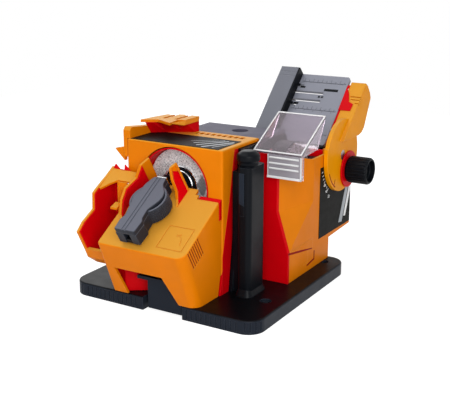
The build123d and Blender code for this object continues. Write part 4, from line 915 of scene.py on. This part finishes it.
@dataclass
class Spindle:
    """Nut, threaded end and bright flange ring in the middle of the drill wheel."""

    face: float = -45.4                 # the nut's seat
    across: float = 12.1                # width over the nut's flats
    heights: tuple[float, ...] = (0, 0, 0.3, 0.9, 2.9, 3.5, 3.8, 3.8)
    cone: tuple[float, ...] = (0.0, 5.7, 6.2, 7.2, 7.2, 6.2, 5.7, 0.0)      # largest radius at each height
    thread_radius: float = 3.3
    thread_depth: float = 0.35
    thread_pitch: float = 0.8
    thread_length: float = 3.2
    thread_out: float = 2.4             # how far the thread's end lies in front of the nut's seat
    ring: Outline = (       # radius and depth round the flange ring's section
        (13.2, -41.3), (13.2, -42.5), (13.6, -42.9), (14.1, -42.5), (14.1, -41.3))

    def build(self, shop: Shop) -> None:
        """Hexagon cut back by a cone at both ends, a rod with a sine wave for its thread, and a ring.

        Args:
            shop: finishes the pieces.
        """
        steps = 72
        angle = np.linspace(0, 2 * np.pi, steps, endpoint=False)
        flat = self.across / 2 / np.cos((angle + np.pi / 6) % (np.pi / 3) - np.pi / 6)
        radius = np.minimum(flat[:, None], np.array(self.cone)[None, :])
        profile = np.column_stack([np.zeros(len(self.heights)), np.array(self.heights) + self.face])
        self.place(shop, "wheel_nut_chamfered", profile, Slot.STEEL, steps, radius, replaces=("wheel_nut",))
        turns = np.linspace(0, self.thread_length, 27)
        thread = self.thread_radius + self.thread_depth * np.sin(turns / self.thread_pitch * 2 * np.pi)
        ends = np.vstack([[[0, 0]], np.column_stack([thread, turns]), [[0, self.thread_length]]])
        ends[:, 1] += self.face - self.thread_out
        self.place(shop, "spindle_thread", ends, Slot.STEEL, 48)
        self.place(shop, "flange_ring", np.array(self.ring), Slot.BRIGHT, 96, closed=True)

    def place(self, shop: Shop, name: str, profile: Array, slot: Slot, steps: int, flute: Array | None = None,
              closed: bool = False, replaces: tuple[str, ...] = ()) -> None:
        """Carry a profile round the wheel's axis and finish it."""
        grid = turned(profile, Axis.Y, (WHEEL_X, 0, WHEEL_Z), steps, flute)
        shop.place(skin(name, grid, wrap_v=closed), "spindle", slot, replaces=replaces)


@dataclass
class ColumnCap:
    """Soft-edged lid over the dressing stick, with a grip groove round its foot."""

    x: float = 57.0
    y: float = -34.0
    z: float = 131.5
    edge: float = 1.6                   # reach of the curve at each corner of the profile
    profile: Outline = (    # radius, and height above the foot
        (0.01, 12.9), (5.6, 12.8), (10.2, 9.4), (10.3, 4.2), (9.1, 3.2), (9.1, 0.2), (8.7, 0.0), (8.55, 0.3),
        (8.55, 8.0), (0.01, 8.0))

    def build(self, shop: Shop) -> None:
        """Profile of a domed lid carried round its axis, hollow below for the column's neck.

        Args:
            shop: finishes the piece.
        """
        dome = rounded(np.array(self.profile) + (0, self.z), self.edge, 6)
        dome[0, 0] = dome[-1, 0] = 0.0
        piece = skin("column_cap", turned(dome, Axis.Z, (self.x, self.y, 0), 72))
        shop.place(piece, "cap", Slot.BLACK, replaces=("storage_cap",))


@dataclass
class Labels:
    """Silver stripes, angle marks and plain numbers printed on the two foils."""

    foil_x: float = 80.4                # outer face of the side foil
    foil_z: float = 145.9               # upper face of the top foil
    sink: float = 0.02                  # how far the ink reaches into its foil
    lift: float = 0.06                  # and how far it stands out
    top_stripes: tuple[tuple[float, float, float, float, float], ...] = (      # both ends and the width
        (-3.0, -33.0, 16.0, -17.0, 0.8), (3.0, -38.5, 23.5, -17.5, 1.5), (10.0, -45.0, 28.0, -18.5, 2.3),
        (18.0, -49.0, 34.5, -20.0, 3.0), (27.5, -47.0, 36.4, -25.0, 1.5))
    wide: Outline = ((112.5, 43.4), (120.4, 42.4), (135.2, 80.6), (128.6, 81.6))
    narrow: Outline = (
        (124.4, 47.6), (129.0, 46.6), (140.0, 73.5), (140.0, 81.0), (137.4, 81.2))
    tick_angles: tuple[int, ...] = tuple(range(196, 238, 6))
    tick_radii: tuple[float, float] = (37.4, 40.2)
    tick_width: float = 0.7
    marks: tuple[tuple[str, float, float], ...] = (("30", 75.4, 91.0), ("40", 80.2, 83.8), ("50", 86.0, 77.4))
    digit_mm: float = 4.2
    digit_half: float = 0.02            # half the thickness of a number
    digit_lift: float = 0.03
    lean: float = -18.0                 # degrees that the numbers are turned

    def build(self, shop: Shop) -> None:
        """Strips and digits laid a hair above the foils.

        Args:
            shop: finishes the pieces.
        """
        parts = [slab(strip((x0, y0), (x1, y1), width), self.foil_z - self.sink, self.foil_z + self.lift)
                 for x0, y0, x1, y1, width in self.top_stripes]
        shop.place(joined("label_stripes_top", parts), "base", Slot.FOIL, SILVER_INK)
        rays = [(math.cos(math.radians(a)), math.sin(math.radians(a))) for a in self.tick_angles]
        ticks = [strip(*((PIVOT_Y + r * c, PIVOT_Z + r * s) for r in self.tick_radii), self.tick_width)
                 for c, s in rays]
        for name, outlines, ink in (("side_stripe_wide", [self.wide], SILVER_INK),
                                    ("side_stripe_narrow", [self.narrow], WHITE_INK),
                                    ("tilt_ticks", ticks, WHITE_INK)):
            parts = [slab(np.array(outline), -self.sink, self.lift) for outline in outlines]
            placed = [(on_right(points, self.foil_x), faces) for points, faces in parts]
            shop.place(joined(name, placed), "base", Slot.FOIL, ink)
        for digits, y, z in self.marks:
            shop.place(self.number(digits, y, z), "base", Slot.FOIL, WHITE_INK)

    def number(self, digits: str, y: float, z: float) -> bpy.types.Object:
        """Number as a flat mesh on the side foil, turned to lean as its tick does.

        Args:
            digits: what it says.
            y: depth of its middle.
            z: height of its middle.
        Returns:
            The new object.
        """
        text = bpy.data.curves.new("digits", "FONT")
        text.body, text.size, text.extrude = digits, self.digit_mm * MM, self.digit_half * MM
        text.align_x, text.align_y = "CENTER", "CENTER"
        holder = bpy.data.objects.new("digits", text)
        mesh = bpy.data.meshes.new_from_object(holder)
        bpy.data.objects.remove(holder)
        flat = np.empty(len(mesh.vertices) * 3)
        mesh.vertices.foreach_get("co", flat)
        flat = flat.reshape(-1, 3) / MM
        lean = math.radians(self.lean)
        turn = np.array([(math.cos(lean), -math.sin(lean)), (math.sin(lean), math.cos(lean))])
        flat[:, :2] = flat[:, :2] @ turn.T + np.array([y, z])
        flat[:, 2] += self.digit_lift
        mesh.vertices.foreach_set("co", (on_right(flat, self.foil_x) * MM).ravel())
        mesh.update()
        piece = bpy.data.objects.new(f"tilt_number_{digits}", mesh)
        bpy.context.collection.objects.link(piece)
        return piece


@dataclass
class DrillHolder:
    """Handle that turns on the deck: a grip over a serrated boss, with a channel for the drill's shank.

    Outlines are given across and up along the deck, heights above it.
    """

    x: float = -14.0                    # pivot
    s: float = 45.0
    foot: float = 3.0
    seam: float = 14.9                  # joint between the grip's two halves
    top: float = 20.0
    channel: float = 3.4                # half width
    channel_end: float = 18.0
    channel_top: float = 7.4            # height of the black floor seen in it
    edge: float = 1.6
    seams: tuple[float, ...] = (-2.6, 0.8)          # lines along the top
    seam_half: float = 0.25
    outline: Outline = (
        (-10.7, 4.3), (10.4, 4.6), (11.2, 17.6), (9.2, 20.6), (8.6, 31.0), (11.6, 37.0), (14.2, 42.6),
        (14.9, 48.0), (13.3, 53.6), (8.8, 59.4), (6.8, 62.5), (6.3, 69.0), (-6.2, 69.0), (-7.6, 66.5),
        (-10.6, 59.0), (-12.0, 36.4), (-9.2, 20.8), (-11.3, 15.6))
    rim: Outline = (        # radius and height round the boss's section
        (0, 3.0), (17.2, 3.0), (17.9, 3.7), (17.9, 16.7), (17.3, 17.6), (15.9, 17.8), (15.4, 17.3),
        (15.4, 15.0), (0, 15.0))
    teeth: int = 56
    tooth_depth: float = 0.6
    tooth_foot: float = 17.2            # radius outside of which the boss is serrated
    pad_radius: float = 14.9
    pad_sweep: tuple[float, float] = (142.0, 218.0)
    pad_heights: tuple[float, float, float] = (14.9, 18.4, 18.8)
    nose: tuple[float, float, float, float] = (-3.6, 6.2, 69.02, 70.3)
    nose_heights: tuple[float, float] = (14.0, 20.1)

    def build(self, shop: Shop) -> None:
        """Build the grip, the boss, the pad beside the grip, the channel's floor and the nose's plate.

        Args:
            shop: finishes the pieces.
        """
        self.place(shop, "holder_grip", self.grip(), Slot.CHARCOAL, ("drill_holder",))
        self.boss(shop)
        bend = np.radians(np.linspace(*self.pad_sweep, 24))
        pad = np.column_stack([self.pad_radius * np.cos(bend), self.s + self.pad_radius * np.sin(bend)])
        low, shoulder, high = self.pad_heights
        self.place(shop, "holder_pad", [layered(pad, [(low, 0), (shoulder, 0), (high, 0.3)])], Slot.CHARCOAL)
        floor = block(-self.channel - 0.2, self.channel + 0.2, 5.0, self.channel_end + 0.2)
        self.place(shop, "channel_floor", [slab(floor, self.foot + 0.2, self.channel_top)], Slot.BLACK)
        self.place(shop, "nose_plate", [slab(block(*self.nose), *self.nose_heights, 0.2)], Slot.BRIGHT)

    def grip(self) -> list[Body]:
        """Lower half with the channel cut into its tail, upper half with a groove at the joint, top in three.

        Returns:
            Points and faces of each body, in the holder's own place.
        """
        edge = rounded(self.outline, self.edge, closed=True)
        corners = list(self.outline)
        half, end = self.channel, self.channel_end
        corners[1:1] = [(-half, 4.4), (-half, end), (half, end), (half, 4.5)]
        parts = [layered(np.array(corners), [(self.foot, 0.3), (self.foot + 0.3, 0), (self.seam, 0)]),
                 layered(edge, [(self.seam, 0.0), (self.seam + 0.3, 0.25), (self.seam + 0.6, 0.0),
                                (self.top - 0.9, 0.0), (self.top - 0.6, 0.12)])]
        (left, right), gap = self.seams, self.seam_half
        for part in (cut(edge, left - gap, -1), cut(cut(edge, left + gap, 1), right - gap, -1),
                     cut(edge, right + gap, 1)):
            parts.append(layered(part, [(self.top - 0.7, 0.1), (self.top - 0.3, 0.12), (self.top, 0.5)]))
        return parts

    def boss(self, shop: Shop) -> None:
        """Radius over the angle is the profile's less the upper half of a cosine wave, one wave a tooth.

        Args:
            shop: finishes the piece.
        """
        profile = np.array(self.rim)
        steps = self.teeth * 8
        angle = np.linspace(0, 2 * np.pi, steps, endpoint=False)
        rim = np.clip((profile[:, 0] - self.tooth_foot) / self.tooth_depth, 0, 1)
        flute = -self.tooth_depth * np.clip(np.cos(angle * self.teeth), 0, 1)[:, None] * rim[None, :]
        boss = turned(profile, Axis.Z, (0, self.s, 0), steps, flute)
        shop.place(skin("holder_boss", on_deck(boss + np.array([self.x, 0, 0]))), "holder", Slot.CHARCOAL)

    def place(self, shop: Shop, name: str, parts: list[Body], slot: Slot,
              replaces: tuple[str, ...] = ()) -> None:
        """Move bodies from the holder's own place onto the deck and make them one piece."""
        placed = [(on_deck(points + np.array([self.x, 0, 0])), faces) for points, faces in parts]
        shop.place(joined(name, placed), "holder", slot, replaces=replaces)


@dataclass
class TableScale:
    """Scale lines, ticks and black inlays of the tilting table, across and up along its face."""

    lift: float = 0.07                  # how far the ink stands out
    lines: tuple[float, ...] = (75.6, 40.8, 12.0)
    left: float = 18.0
    right: float = 68.4
    half: float = 0.2                   # half the width of a tick
    ticks: tuple[float, float] = (4.2, 2.6)         # long and short
    pitch: float = 5.0
    inlays: tuple[tuple[float, float, float, float], ...] = (
        (46.4, 62.0, 65.2, 68.3), (42.6, 45.0, 56.6, 58.6), (46.4, 48.8, 56.6, 58.6),
        (18.4, 24.4, 67.2, 69.6), (18.4, 24.0, 46.2, 48.6))

    def build(self, shop: Shop) -> None:
        """Thin strips just above the face: three long lines, ticks every 5 mm, others below every 10 mm.

        Args:
            shop: finishes the pieces.
        """
        marks = [block(self.left, self.right, s - 0.22, s + 0.22) for s in self.lines]
        marks += [block(x - self.half, x + self.half, s, s + self.ticks[i % 2]) for s in self.lines[:2]
                  for i, x in enumerate(np.arange(self.left + 3, self.right, self.pitch))]
        marks += [block(x - self.half, x + self.half, s - 2.2, s) for s in self.lines[1:]
                  for x in np.arange(self.left + 5.5, self.right, 2 * self.pitch)]
        scale = [slab(mark, -0.01, self.lift) for mark in marks]
        inlays = [slab(block(*inlay), -0.6, 0.12, 0.05) for inlay in self.inlays]
        for name, parts, slot in (("table_scale", scale, Slot.CHARCOAL), ("table_inlays", inlays, Slot.BLACK)):
            placed = [(on_table(points), faces) for points, faces in parts]
            shop.place(joined(name, placed), "table_arm", slot)


@dataclass
class Shield:
    """Hazy eye shield: roof with a rim painted bright as a highlight, frosted ridged front, cheeks with snap-on
    bearings, a wing.
    """

    left: float = 46.0
    right: float = 94.5
    box: float = 61.0                   # left side of the front box
    wall: float = 1.8
    front: float = -6.0
    low: float = 114.5
    back: float = -0.2
    fold: float = 138.0                 # height of the roof's front edge
    rise: float = 29.95                 # slope of the roof in degrees
    length: float = 56.0
    inner: float = 136.9                # height of the right cheek's front corner, under the roof
    tip: tuple[float, float] = (42.4, 163.8)        # upper back corner of both cheeks
    bearing: tuple[float, float, float] = (-1.3, 117.0, 1.4)        # middle and radius of the round slot
    rim: float = 0.8                    # width of the posts, milky white as painted highlights
    ridges: tuple[float, ...] = (133.6, 128.4, 123.6)

    def build(self, shop: Shop) -> None:
        """Build the shell, the frosted front and the rim that carries the painted highlights, each of one
        material.

        Args:
            shop: finishes the pieces.
        """
        shop.place(joined("shield_shell", self.shell()), "guard", Slot.CLEAR, DUSTY, ("guard",))
        face = block(self.front, self.front + self.wall, self.low, 136.4)
        pane = across(face, self.box + self.rim, self.right - self.rim)
        shop.place(joined("shield_front", [pane]), "guard", Slot.CLEAR, FROSTED)
        # painted highlights: the rim, posts, foot and ridges are milky white so that they read as bright edge
        # lines
        shop.place(joined("shield_rim_painted_highlight", self.edges()), "guard", Slot.CLEAR, PAINTED_HIGHLIGHT_RIM)

    def slot(self) -> list[tuple[float, float]]:
        """Edge of a cheek round the hinge pin, open towards the back.

        Returns:
            Points from the slot's upper lip round to its lower one.
        """
        y, z, r = self.bearing
        turn = np.radians(np.linspace(90, 270, 13))
        bend = np.column_stack([y + r * np.cos(turn), z + r * np.sin(turn)])
        return [(self.back, z + r)] + [tuple(p) for p in bend] + [(self.back, z - r)]

    def shell(self) -> list[Body]:
        """Roof plate, two cheeks and the narrow wing that joins the left cheek to the roof.

        Returns:
            Points and faces of each body.
        """
        w, back, start = self.wall, self.back, self.front + self.wall + 0.02
        points, faces = slab(block(self.left, self.right, 0, self.length), -w, 0)
        end = [*self.slot(), (back, self.low)]
        right = [(start, self.low), (start, self.inner), self.tip, (27.6, 137.5), (back, 136.0), *end]
        left = [(start, self.low), (start, self.inner), (back, 139.1), *end]
        wing = [(-4.4, 136.8), self.tip, (27.6, 144.0), (2.0, 137.9)]
        return [(on_slope(points, self.front, self.fold, self.rise), faces),
                across(right, self.right - w, self.right), across(left, self.box, self.box + w),
                across(wing, self.left, self.left + w)]

    def edges(self) -> list[Body]:
        """Bars round the roof, posts beside the front, its foot and its ridges, all milky white as painted
        highlights.

        Returns:
            Points and faces of each body.
        """
        x0, x1, s1, low, out = self.left, self.right, self.length, self.low, self.front - 0.02
        bars = [block(x0, x0 + 1.3, 0, s1), block(x1 - 1.3, x1, 0, s1), block(x0 + 1.3, x1 - 1.3, 0, 1.5),
                block(x0 + 1.3, x1 - 1.3, s1 - 1.5, s1)]
        rim = [(on_slope(points, self.front, self.fold, self.rise), faces)
               for points, faces in (slab(bar, 0.02, 0.55, 0.2) for bar in bars)]
        post = block(self.front - 0.3, self.front + self.wall, low, 136.3)
        rim += [across(post, self.box, self.box + self.rim), across(post, x1 - self.rim, x1)]
        foot = [(self.front - 0.9, low + 0.4), (self.front - 0.9, low + 1.8), (out, low + 2.3), (out, low)]
        rim += [across(foot, self.box, x1)]
        for z in self.ridges:
            ridge = [(out, z + 0.9), (out - 0.7, z + 0.5), (out - 0.9, z), (out - 0.7, z - 0.5),
                     (out, z - 0.9)]
            rim += [across(ridge, self.box + 1.8, x1 - 2.4)]
        return rim


@dataclass
class WheelBay:
    """Insides of the chisel module: black deck, hood over the wheel and wall under the table, their black a
    painted shade under the shield; the wall has a red end.
    """

    low: float = 117.2
    high: float = 119.0
    inner: float = 31.5                 # radii of the hood
    outer: float = 33.0
    sweep: tuple[float, float] = (70.0, 178.0)
    hood: tuple[float, float] = (49.5, 65.2)
    decks: tuple[Outline, ...] = (
        ((48.5, 4.3), (64.9, 4.3), (66.0, 8.8), (48.5, 8.8)),
        ((66.9, 12.6), (76.6, 52.5), (76.6, 75.0), (66.9, 75.0)),
        ((48.5, 71.0), (66.88, 71.0), (66.88, 75.0), (48.5, 75.0)))
    wall: tuple[float, float, float, float] = (79.0, 80.6, 100.0, 125.0)    # depths and heights
    black: tuple[float, float] = (48.4, 60.0)
    red: tuple[float, float] = (60.02, 77.2)

    def build(self, shop: Shop) -> None:
        """Deck round the wheel's slot, an arc shell and an upright wall.

        Args:
            shop: finishes the pieces.
        """
        middle, thickness = (self.inner + self.outer) / 2, self.outer - self.inner
        shell = arc((DRIVE_Y, WHEEL_Z), middle, *self.sweep, thickness, 48)
        parts = [slab(np.array(deck), self.low, self.high) for deck in self.decks]
        parts += [across(shell, *self.hood), across(block(*self.wall), *self.black)]
        # painted shade: the deck, hood and wall are black so that the shield's lower part reads dark
        shop.place(joined("wheel_bay", parts), "base", Slot.BLACK)
        shop.place(joined("wheel_bay_wall", [across(block(*self.wall), *self.red)]), "base", Slot.RED)


@dataclass
class HousingTrim:
    """Lap of the red band, the column's panel, black plates under the vents that paint the shade in them, and
    the flap on the knife guide.
    """

    wall: float = 42.0                  # right side of the drill housing
    lap: float = 0.25
    band: Outline = (
        (-52.9, 9.4), (-52.9, 48.0), (-49.5, 64.0), (-41.2, 98.0), (-34.4, 134.0), (-32.2, 143.0),
        (-29.0, 143.0), (-38.5, 98.0), (-51.5, 33.0), (-52.5, 9.4))
    column_front: float = -46.5
    panel: Outline = ((54.9, 98.6), (60.0, 96.8), (60.0, 126.0), (54.9, 126.0))
    vents: int = 9
    vent_pitch: float = 6.2
    vent: tuple[float, float, float, float] = (-21.9, -17.9, -1.4, 5.9)     # the first one
    vent_heights: tuple[float, float] = (143.9, 144.4)
    flap: tuple[tuple[float, float, float], ...] = (        # front tip, then upper and lower corners
        (-28.0, -30.8, 159.3), (-23.0, -12.2, 159.0), (-21.4, -16.5, 155.6), (-21.4, 8.0, 155.6),
        (-23.0, 11.2, 159.0))
    flap_thickness: float = 1.2

    def build(self, shop: Shop) -> None:
        """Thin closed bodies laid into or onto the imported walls.

        Args:
            shop: finishes the pieces.
        """
        shop.place(joined("band_lap", [across(self.band, self.wall, self.wall + self.lap)]), "base", Slot.RED)
        points, faces = slab(np.array(self.panel), 0, 0.5, 0.25)
        upright = np.column_stack([points[:, 0], self.column_front - points[:, 2], points[:, 1]])
        shop.place(joined("column_panel", [(upright, faces)]), "base", Slot.CHARCOAL, SLATE_BLUE)
        x0, x1, y0, y1 = self.vent
        # painted shade: black plates just under the vents, so that the slots read dark
        vent_shade = [slab(block(x0 + x, x1 + x, y0, y1), *self.vent_heights)
                   for x in (self.vent_pitch * i for i in range(self.vents))]
        shop.place(joined("vent_shade_plates", vent_shade), "base", Slot.BLACK)
        tip, high, low, low_back, high_back = self.flap
        leaves = [low, low_back, high_back, high], [low, high, tip]
        flap = [sheet(leaf, self.flap_thickness) for leaf in leaves]
        shop.place(joined("guide_flap", flap), "base", Slot.ORANGE)


@dataclass
class ModuleLatch:
    """Panel line and latch hook on the chisel module's right side: orange fills behind, and dark red inlays
    that paint the shade in the line and the hook.
    """

    face: float = 80.0
    inlay: tuple[float, float] = (79.7, 80.06)
    plugs: tuple[tuple[float, float, float, float, float], ...] = (     # left end, depths and heights
        (79.41, 5.5, 54.0, 42.4, 43.4), (79.41, 53.2, 54.0, 34.0, 42.4), (78.81, 42.0, 43.6, 22.0, 34.0),
        (78.81, 34.0, 42.0, 20.6, 22.0))
    line: Outline = (
        (1.6, 42.6), (1.6, 40.6), (26.0, 36.6), (52.0, 32.6), (52.0, 33.6), (26.0, 38.6))
    hook: Outline = (
        (57.9, 29.6), (57.9, 19.9), (41.0, 17.6), (41.0, 19.3), (56.0, 21.7), (56.0, 29.2))

    def build(self, shop: Shop) -> None:
        """Prisms that end on the wall's face, or a hair in front of it.

        Args:
            shop: finishes the pieces.
        """
        plugs = [across(block(*edges), start, self.face) for start, *edges in self.plugs]
        shop.place(joined("latch_plugs", plugs), "base", Slot.ORANGE)
        # painted shade: flush dark red strips where the panel line and the hook would be in shade
        inlays = [across(outline, *self.inlay) for outline in (self.line, self.hook)]
        shop.place(joined("latch_painted_shade", inlays), "base", Slot.RED, PAINTED_SHADE_RED)


@dataclass
class HeadTrim:
    """Dark red plates behind the drill head's slits that paint the shade inside them, and the red back of its
    blade chute.
    """

    slits: int = 7
    first: tuple[float, float] = (-108.0, 67.2)     # depth and height where the row of slits starts
    reach: tuple[float, float] = (17.0, 10.6)       # and how far it runs
    slit_shade: tuple[float, float] = (39.9, 40.4)
    slit: Outline = ((-0.6, -0.36), (0.6, 0.36), (10.5, -16.4), (9.5, -17.1))       # about the slit's top
    chute: tuple[float, float, float, float] = (-57.2, -56.2, 50.0, 104.0)
    chute_width: tuple[float, float] = (-78.0, -60.6)

    def build(self, shop: Shop) -> None:
        """Slanting strips, evenly spaced along the row, and one upright plate.

        Args:
            shop: finishes the pieces.
        """
        shares = (np.arange(self.slits) + 0.5) / self.slits
        slits = [np.array(self.first) + np.array(self.reach) * share + np.array(self.slit) for share in shares]
        # painted shade: dark red plates just behind the slits, so that they read dark
        slit_shade = joined("slit_painted_shade", [across(slit, *self.slit_shade) for slit in slits])
        shop.place(slit_shade, "head", Slot.RED, PAINTED_SHADE_RED)
        shop.place(joined("chute_back", [across(block(*self.chute), *self.chute_width)]), "head", Slot.RED)


@dataclass
class ArmMarks:
    """Pointer groove and tick on the table arm's outer face, drawn as flat dark red strips in painted shade."""

    face: float = 84.8
    radius: float = 33.6
    sweep: tuple[float, float] = (203.0, 241.0)
    groove: float = 1.3                 # widths
    tick: float = 1.2
    tick_ends: tuple[tuple[float, float], tuple[float, float]] = ((90.6, 94.2), (88.9, 89.2))
    heights: tuple[float, float] = (-0.05, 0.07)

    def build(self, shop: Shop) -> None:
        """Arc round the tilt axis and a short strip beside it.

        Args:
            shop: finishes the piece.
        """
        groove = arc((PIVOT_Y, PIVOT_Z), self.radius, *self.sweep, self.groove)
        parts = [slab(outline, *self.heights) for outline in (groove, strip(*self.tick_ends, self.tick))]
        placed = [(on_right(points, self.face), faces) for points, faces in parts]
        # painted shade: the groove and the tick are flat strips in the dark red that stands for shade
        shop.place(joined("arm_marks", placed), "table_arm", Slot.RED, PAINTED_SHADE_RED)


@dataclass
class CableGland:
    """Ribbed rubber sleeve round the cord's bore."""

    x: float = -24.0
    z: float = 32.0
    wall: float = 70.0                  # back of the motor housing
    bore: float = 3.25
    ribbed: tuple[float, float] = (3.2, 13.1)
    grooves: int = 5
    groove_depth: float = 0.55
    taper: float = 0.145
    collar: Outline = (     # radius, and distance from the wall
        (6.0, -3.0), (6.0, 0.0), (7.6, 0.0), (8.0, 0.4), (8.0, 2.6), (7.6, 3.0), (6.2, 3.0))

    def build(self, shop: Shop) -> None:
        """Profile with a collar, then a cosine wave in a radius that gets smaller towards the end.

        Args:
            shop: finishes the piece.
        """
        start, end = self.ribbed
        along = np.linspace(start, end, 41)
        turns = (along - start) / (end - start) * self.grooves
        groove = self.groove_depth * (np.cos(turns * 2 * np.pi) - 1) / 2
        body = np.column_stack([6.0 - (along - 3.0) * self.taper + groove, along])
        profile = np.vstack([[(self.bore, -3.0), *self.collar], body, [(self.bore, end)]])
        grid = turned(profile, Axis.Y, (self.x, self.wall, self.z), 64)
        piece = skin("cable_gland_ribbed", grid, wrap_v=True)
        shop.place(piece, "base", Slot.BLACK, replaces=("cable_gland",))


# ---------------------------------------------------------------------------- studio
def seen_directly(tree: Tree) -> Socket:
    """One for rays from the camera, from gloss and through glass, zero for light that only fills.

    Args:
        tree: node tree of the floor's material or of the world.
    Returns:
        The socket that holds the one or zero.
    """
    path = add(tree, "ShaderNodeLightPath")
    gloss = add(tree, "ShaderNodeMath", {0: path.outputs["Is Camera Ray"], 1: path.outputs["Is Glossy Ray"]},
                operation="MAXIMUM")
    return add(tree, "ShaderNodeMath", {0: gloss.outputs[0], 1: path.outputs["Is Transmission Ray"]},
               operation="MAXIMUM").outputs[0]


@dataclass
class Studio:
    """Camera, soft lights, pale floor and white surroundings, in metres."""

    eye: tuple[float, float, float] = (0.4253, -0.6815, 0.310)
    azimuth: float = 31.2
    down: float = 15.9
    lens: float = 70.0
    sensor: float = 36.0
    clip: tuple[float, float] = (0.05, 30.0)
    target: tuple[float, float, float] = (0.0, 0.0, 0.09)       # point that the lamps face
    lamps: tuple[tuple[tuple[float, float, float], float, float], ...] = (     # place, size and watts
        ((0.68, -0.88, 0.48), 0.8, 8.6), ((-0.35, -0.45, 1.20), 0.8, 4.4), ((-0.65, 0.75, 0.85), 0.9, 4.0))
    sky: str = "F4F6FA"
    fill: float = 0.45
    floor_size: float = 2.0
    floor_matt: float = 0.42            # grey that takes the shadow where the camera sees the floor
    floor_glow: float = 0.84            # light added there, so that the floor reads as white
    floor_bounce: float = 0.8           # grey that lights the object from below

    def build(self) -> None:
        """Set up everything that isn't part of the object."""
        self.camera()
        self.lights()
        self.world()
        self.floor()
        bpy.context.scene.view_settings.view_transform = "Standard"

    def camera(self) -> None:
        """Camera without roll or shift."""
        data = bpy.data.cameras.new("camera")
        data.lens, data.sensor_width, data.sensor_fit = self.lens, self.sensor, "HORIZONTAL"
        data.clip_start, data.clip_end = self.clip
        camera = bpy.data.objects.new("camera", data)
        bpy.context.collection.objects.link(camera)
        a, d = math.radians(self.azimuth), math.radians(self.down)
        look = Vector((-math.sin(a) * math.cos(d), math.cos(a) * math.cos(d), -math.sin(d)))
        camera.location = self.eye
        camera.rotation_euler = look.to_track_quat("-Z", "Y").to_euler()
        bpy.context.scene.camera = camera

    def lights(self) -> None:
        """Large soft lamps, each turned towards the object."""
        for i, (place, size, watts) in enumerate(self.lamps):
            data = bpy.data.lights.new(f"softbox_{i}", "AREA")
            data.shape, data.size, data.energy = "DISK", size, watts
            lamp = bpy.data.objects.new(f"softbox_{i}", data)
            lamp.location = place
            lamp.rotation_euler = (Vector(self.target) - Vector(place)).to_track_quat("-Z", "Y").to_euler()
            bpy.context.collection.objects.link(lamp)

    def world(self) -> None:
        """White for the camera, for gloss and for glass; a plain grey fill for everything else."""
        world = bpy.data.worlds.new("studio")
        bpy.context.scene.world = world
        world.use_nodes = True
        tree = world.node_tree
        tree.nodes.clear()
        fill = add(tree, "ShaderNodeBackground", {"Color": linear(self.sky), "Strength": self.fill})
        white = add(tree, "ShaderNodeBackground", {"Color": grey(1.0), "Strength": 1.0})
        mix = add(tree, "ShaderNodeMixShader",
                  {0: seen_directly(tree), 1: fill.outputs[0], 2: white.outputs[0]})
        add(tree, "ShaderNodeOutputWorld", {"Surface": mix.outputs[0]})

    def floor(self) -> None:
        """Pale floor that reads as white to the camera and keeps a soft shadow."""
        material = bpy.data.materials.new("floor_white")
        material.use_nodes = True
        tree = material.node_tree
        tree.nodes.clear()
        matt = add(tree, "ShaderNodeBsdfDiffuse", {"Color": grey(self.floor_matt)})
        glow = add(tree, "ShaderNodeEmission", {"Color": grey(1.0), "Strength": self.floor_glow})
        both = add(tree, "ShaderNodeAddShader", {0: matt.outputs[0], 1: glow.outputs[0]})
        plain = add(tree, "ShaderNodeBsdfDiffuse", {"Color": grey(self.floor_bounce)})
        mix = add(tree, "ShaderNodeMixShader",
                  {0: seen_directly(tree), 1: plain.outputs[0], 2: both.outputs[0]})
        add(tree, "ShaderNodeOutputMaterial", {"Surface": mix.outputs[0]})
        half = self.floor_size / MM / 2
        corners = np.column_stack([block(-half, half, -half, half), np.zeros(4)])
        piece = solid("floor", corners, [(0, 1, 2, 3)])
        piece.data.materials.append(material)
        piece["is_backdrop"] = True


def corners() -> list[list[float]]:
    """Lowest and highest corner of everything shown, as plain numbers."""
    return [[float(c) for c in corner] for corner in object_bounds()]


def main() -> None:
    """Load the frame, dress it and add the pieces."""
    logging.basicConfig(level=logging.INFO, format="%(name)s: %(message)s")
    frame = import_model()
    Studio().build()
    shop = Shop(frame)
    for part in (DrillHolder(), Knob(), Spindle(), ColumnCap(), Labels(), TableScale(), Shield(), WheelBay(),
                 HousingTrim(), ModuleLatch(), HeadTrim(), ArmMarks(), CableGland()):
        part.build(shop)


if __name__ == "__main__":
    main()
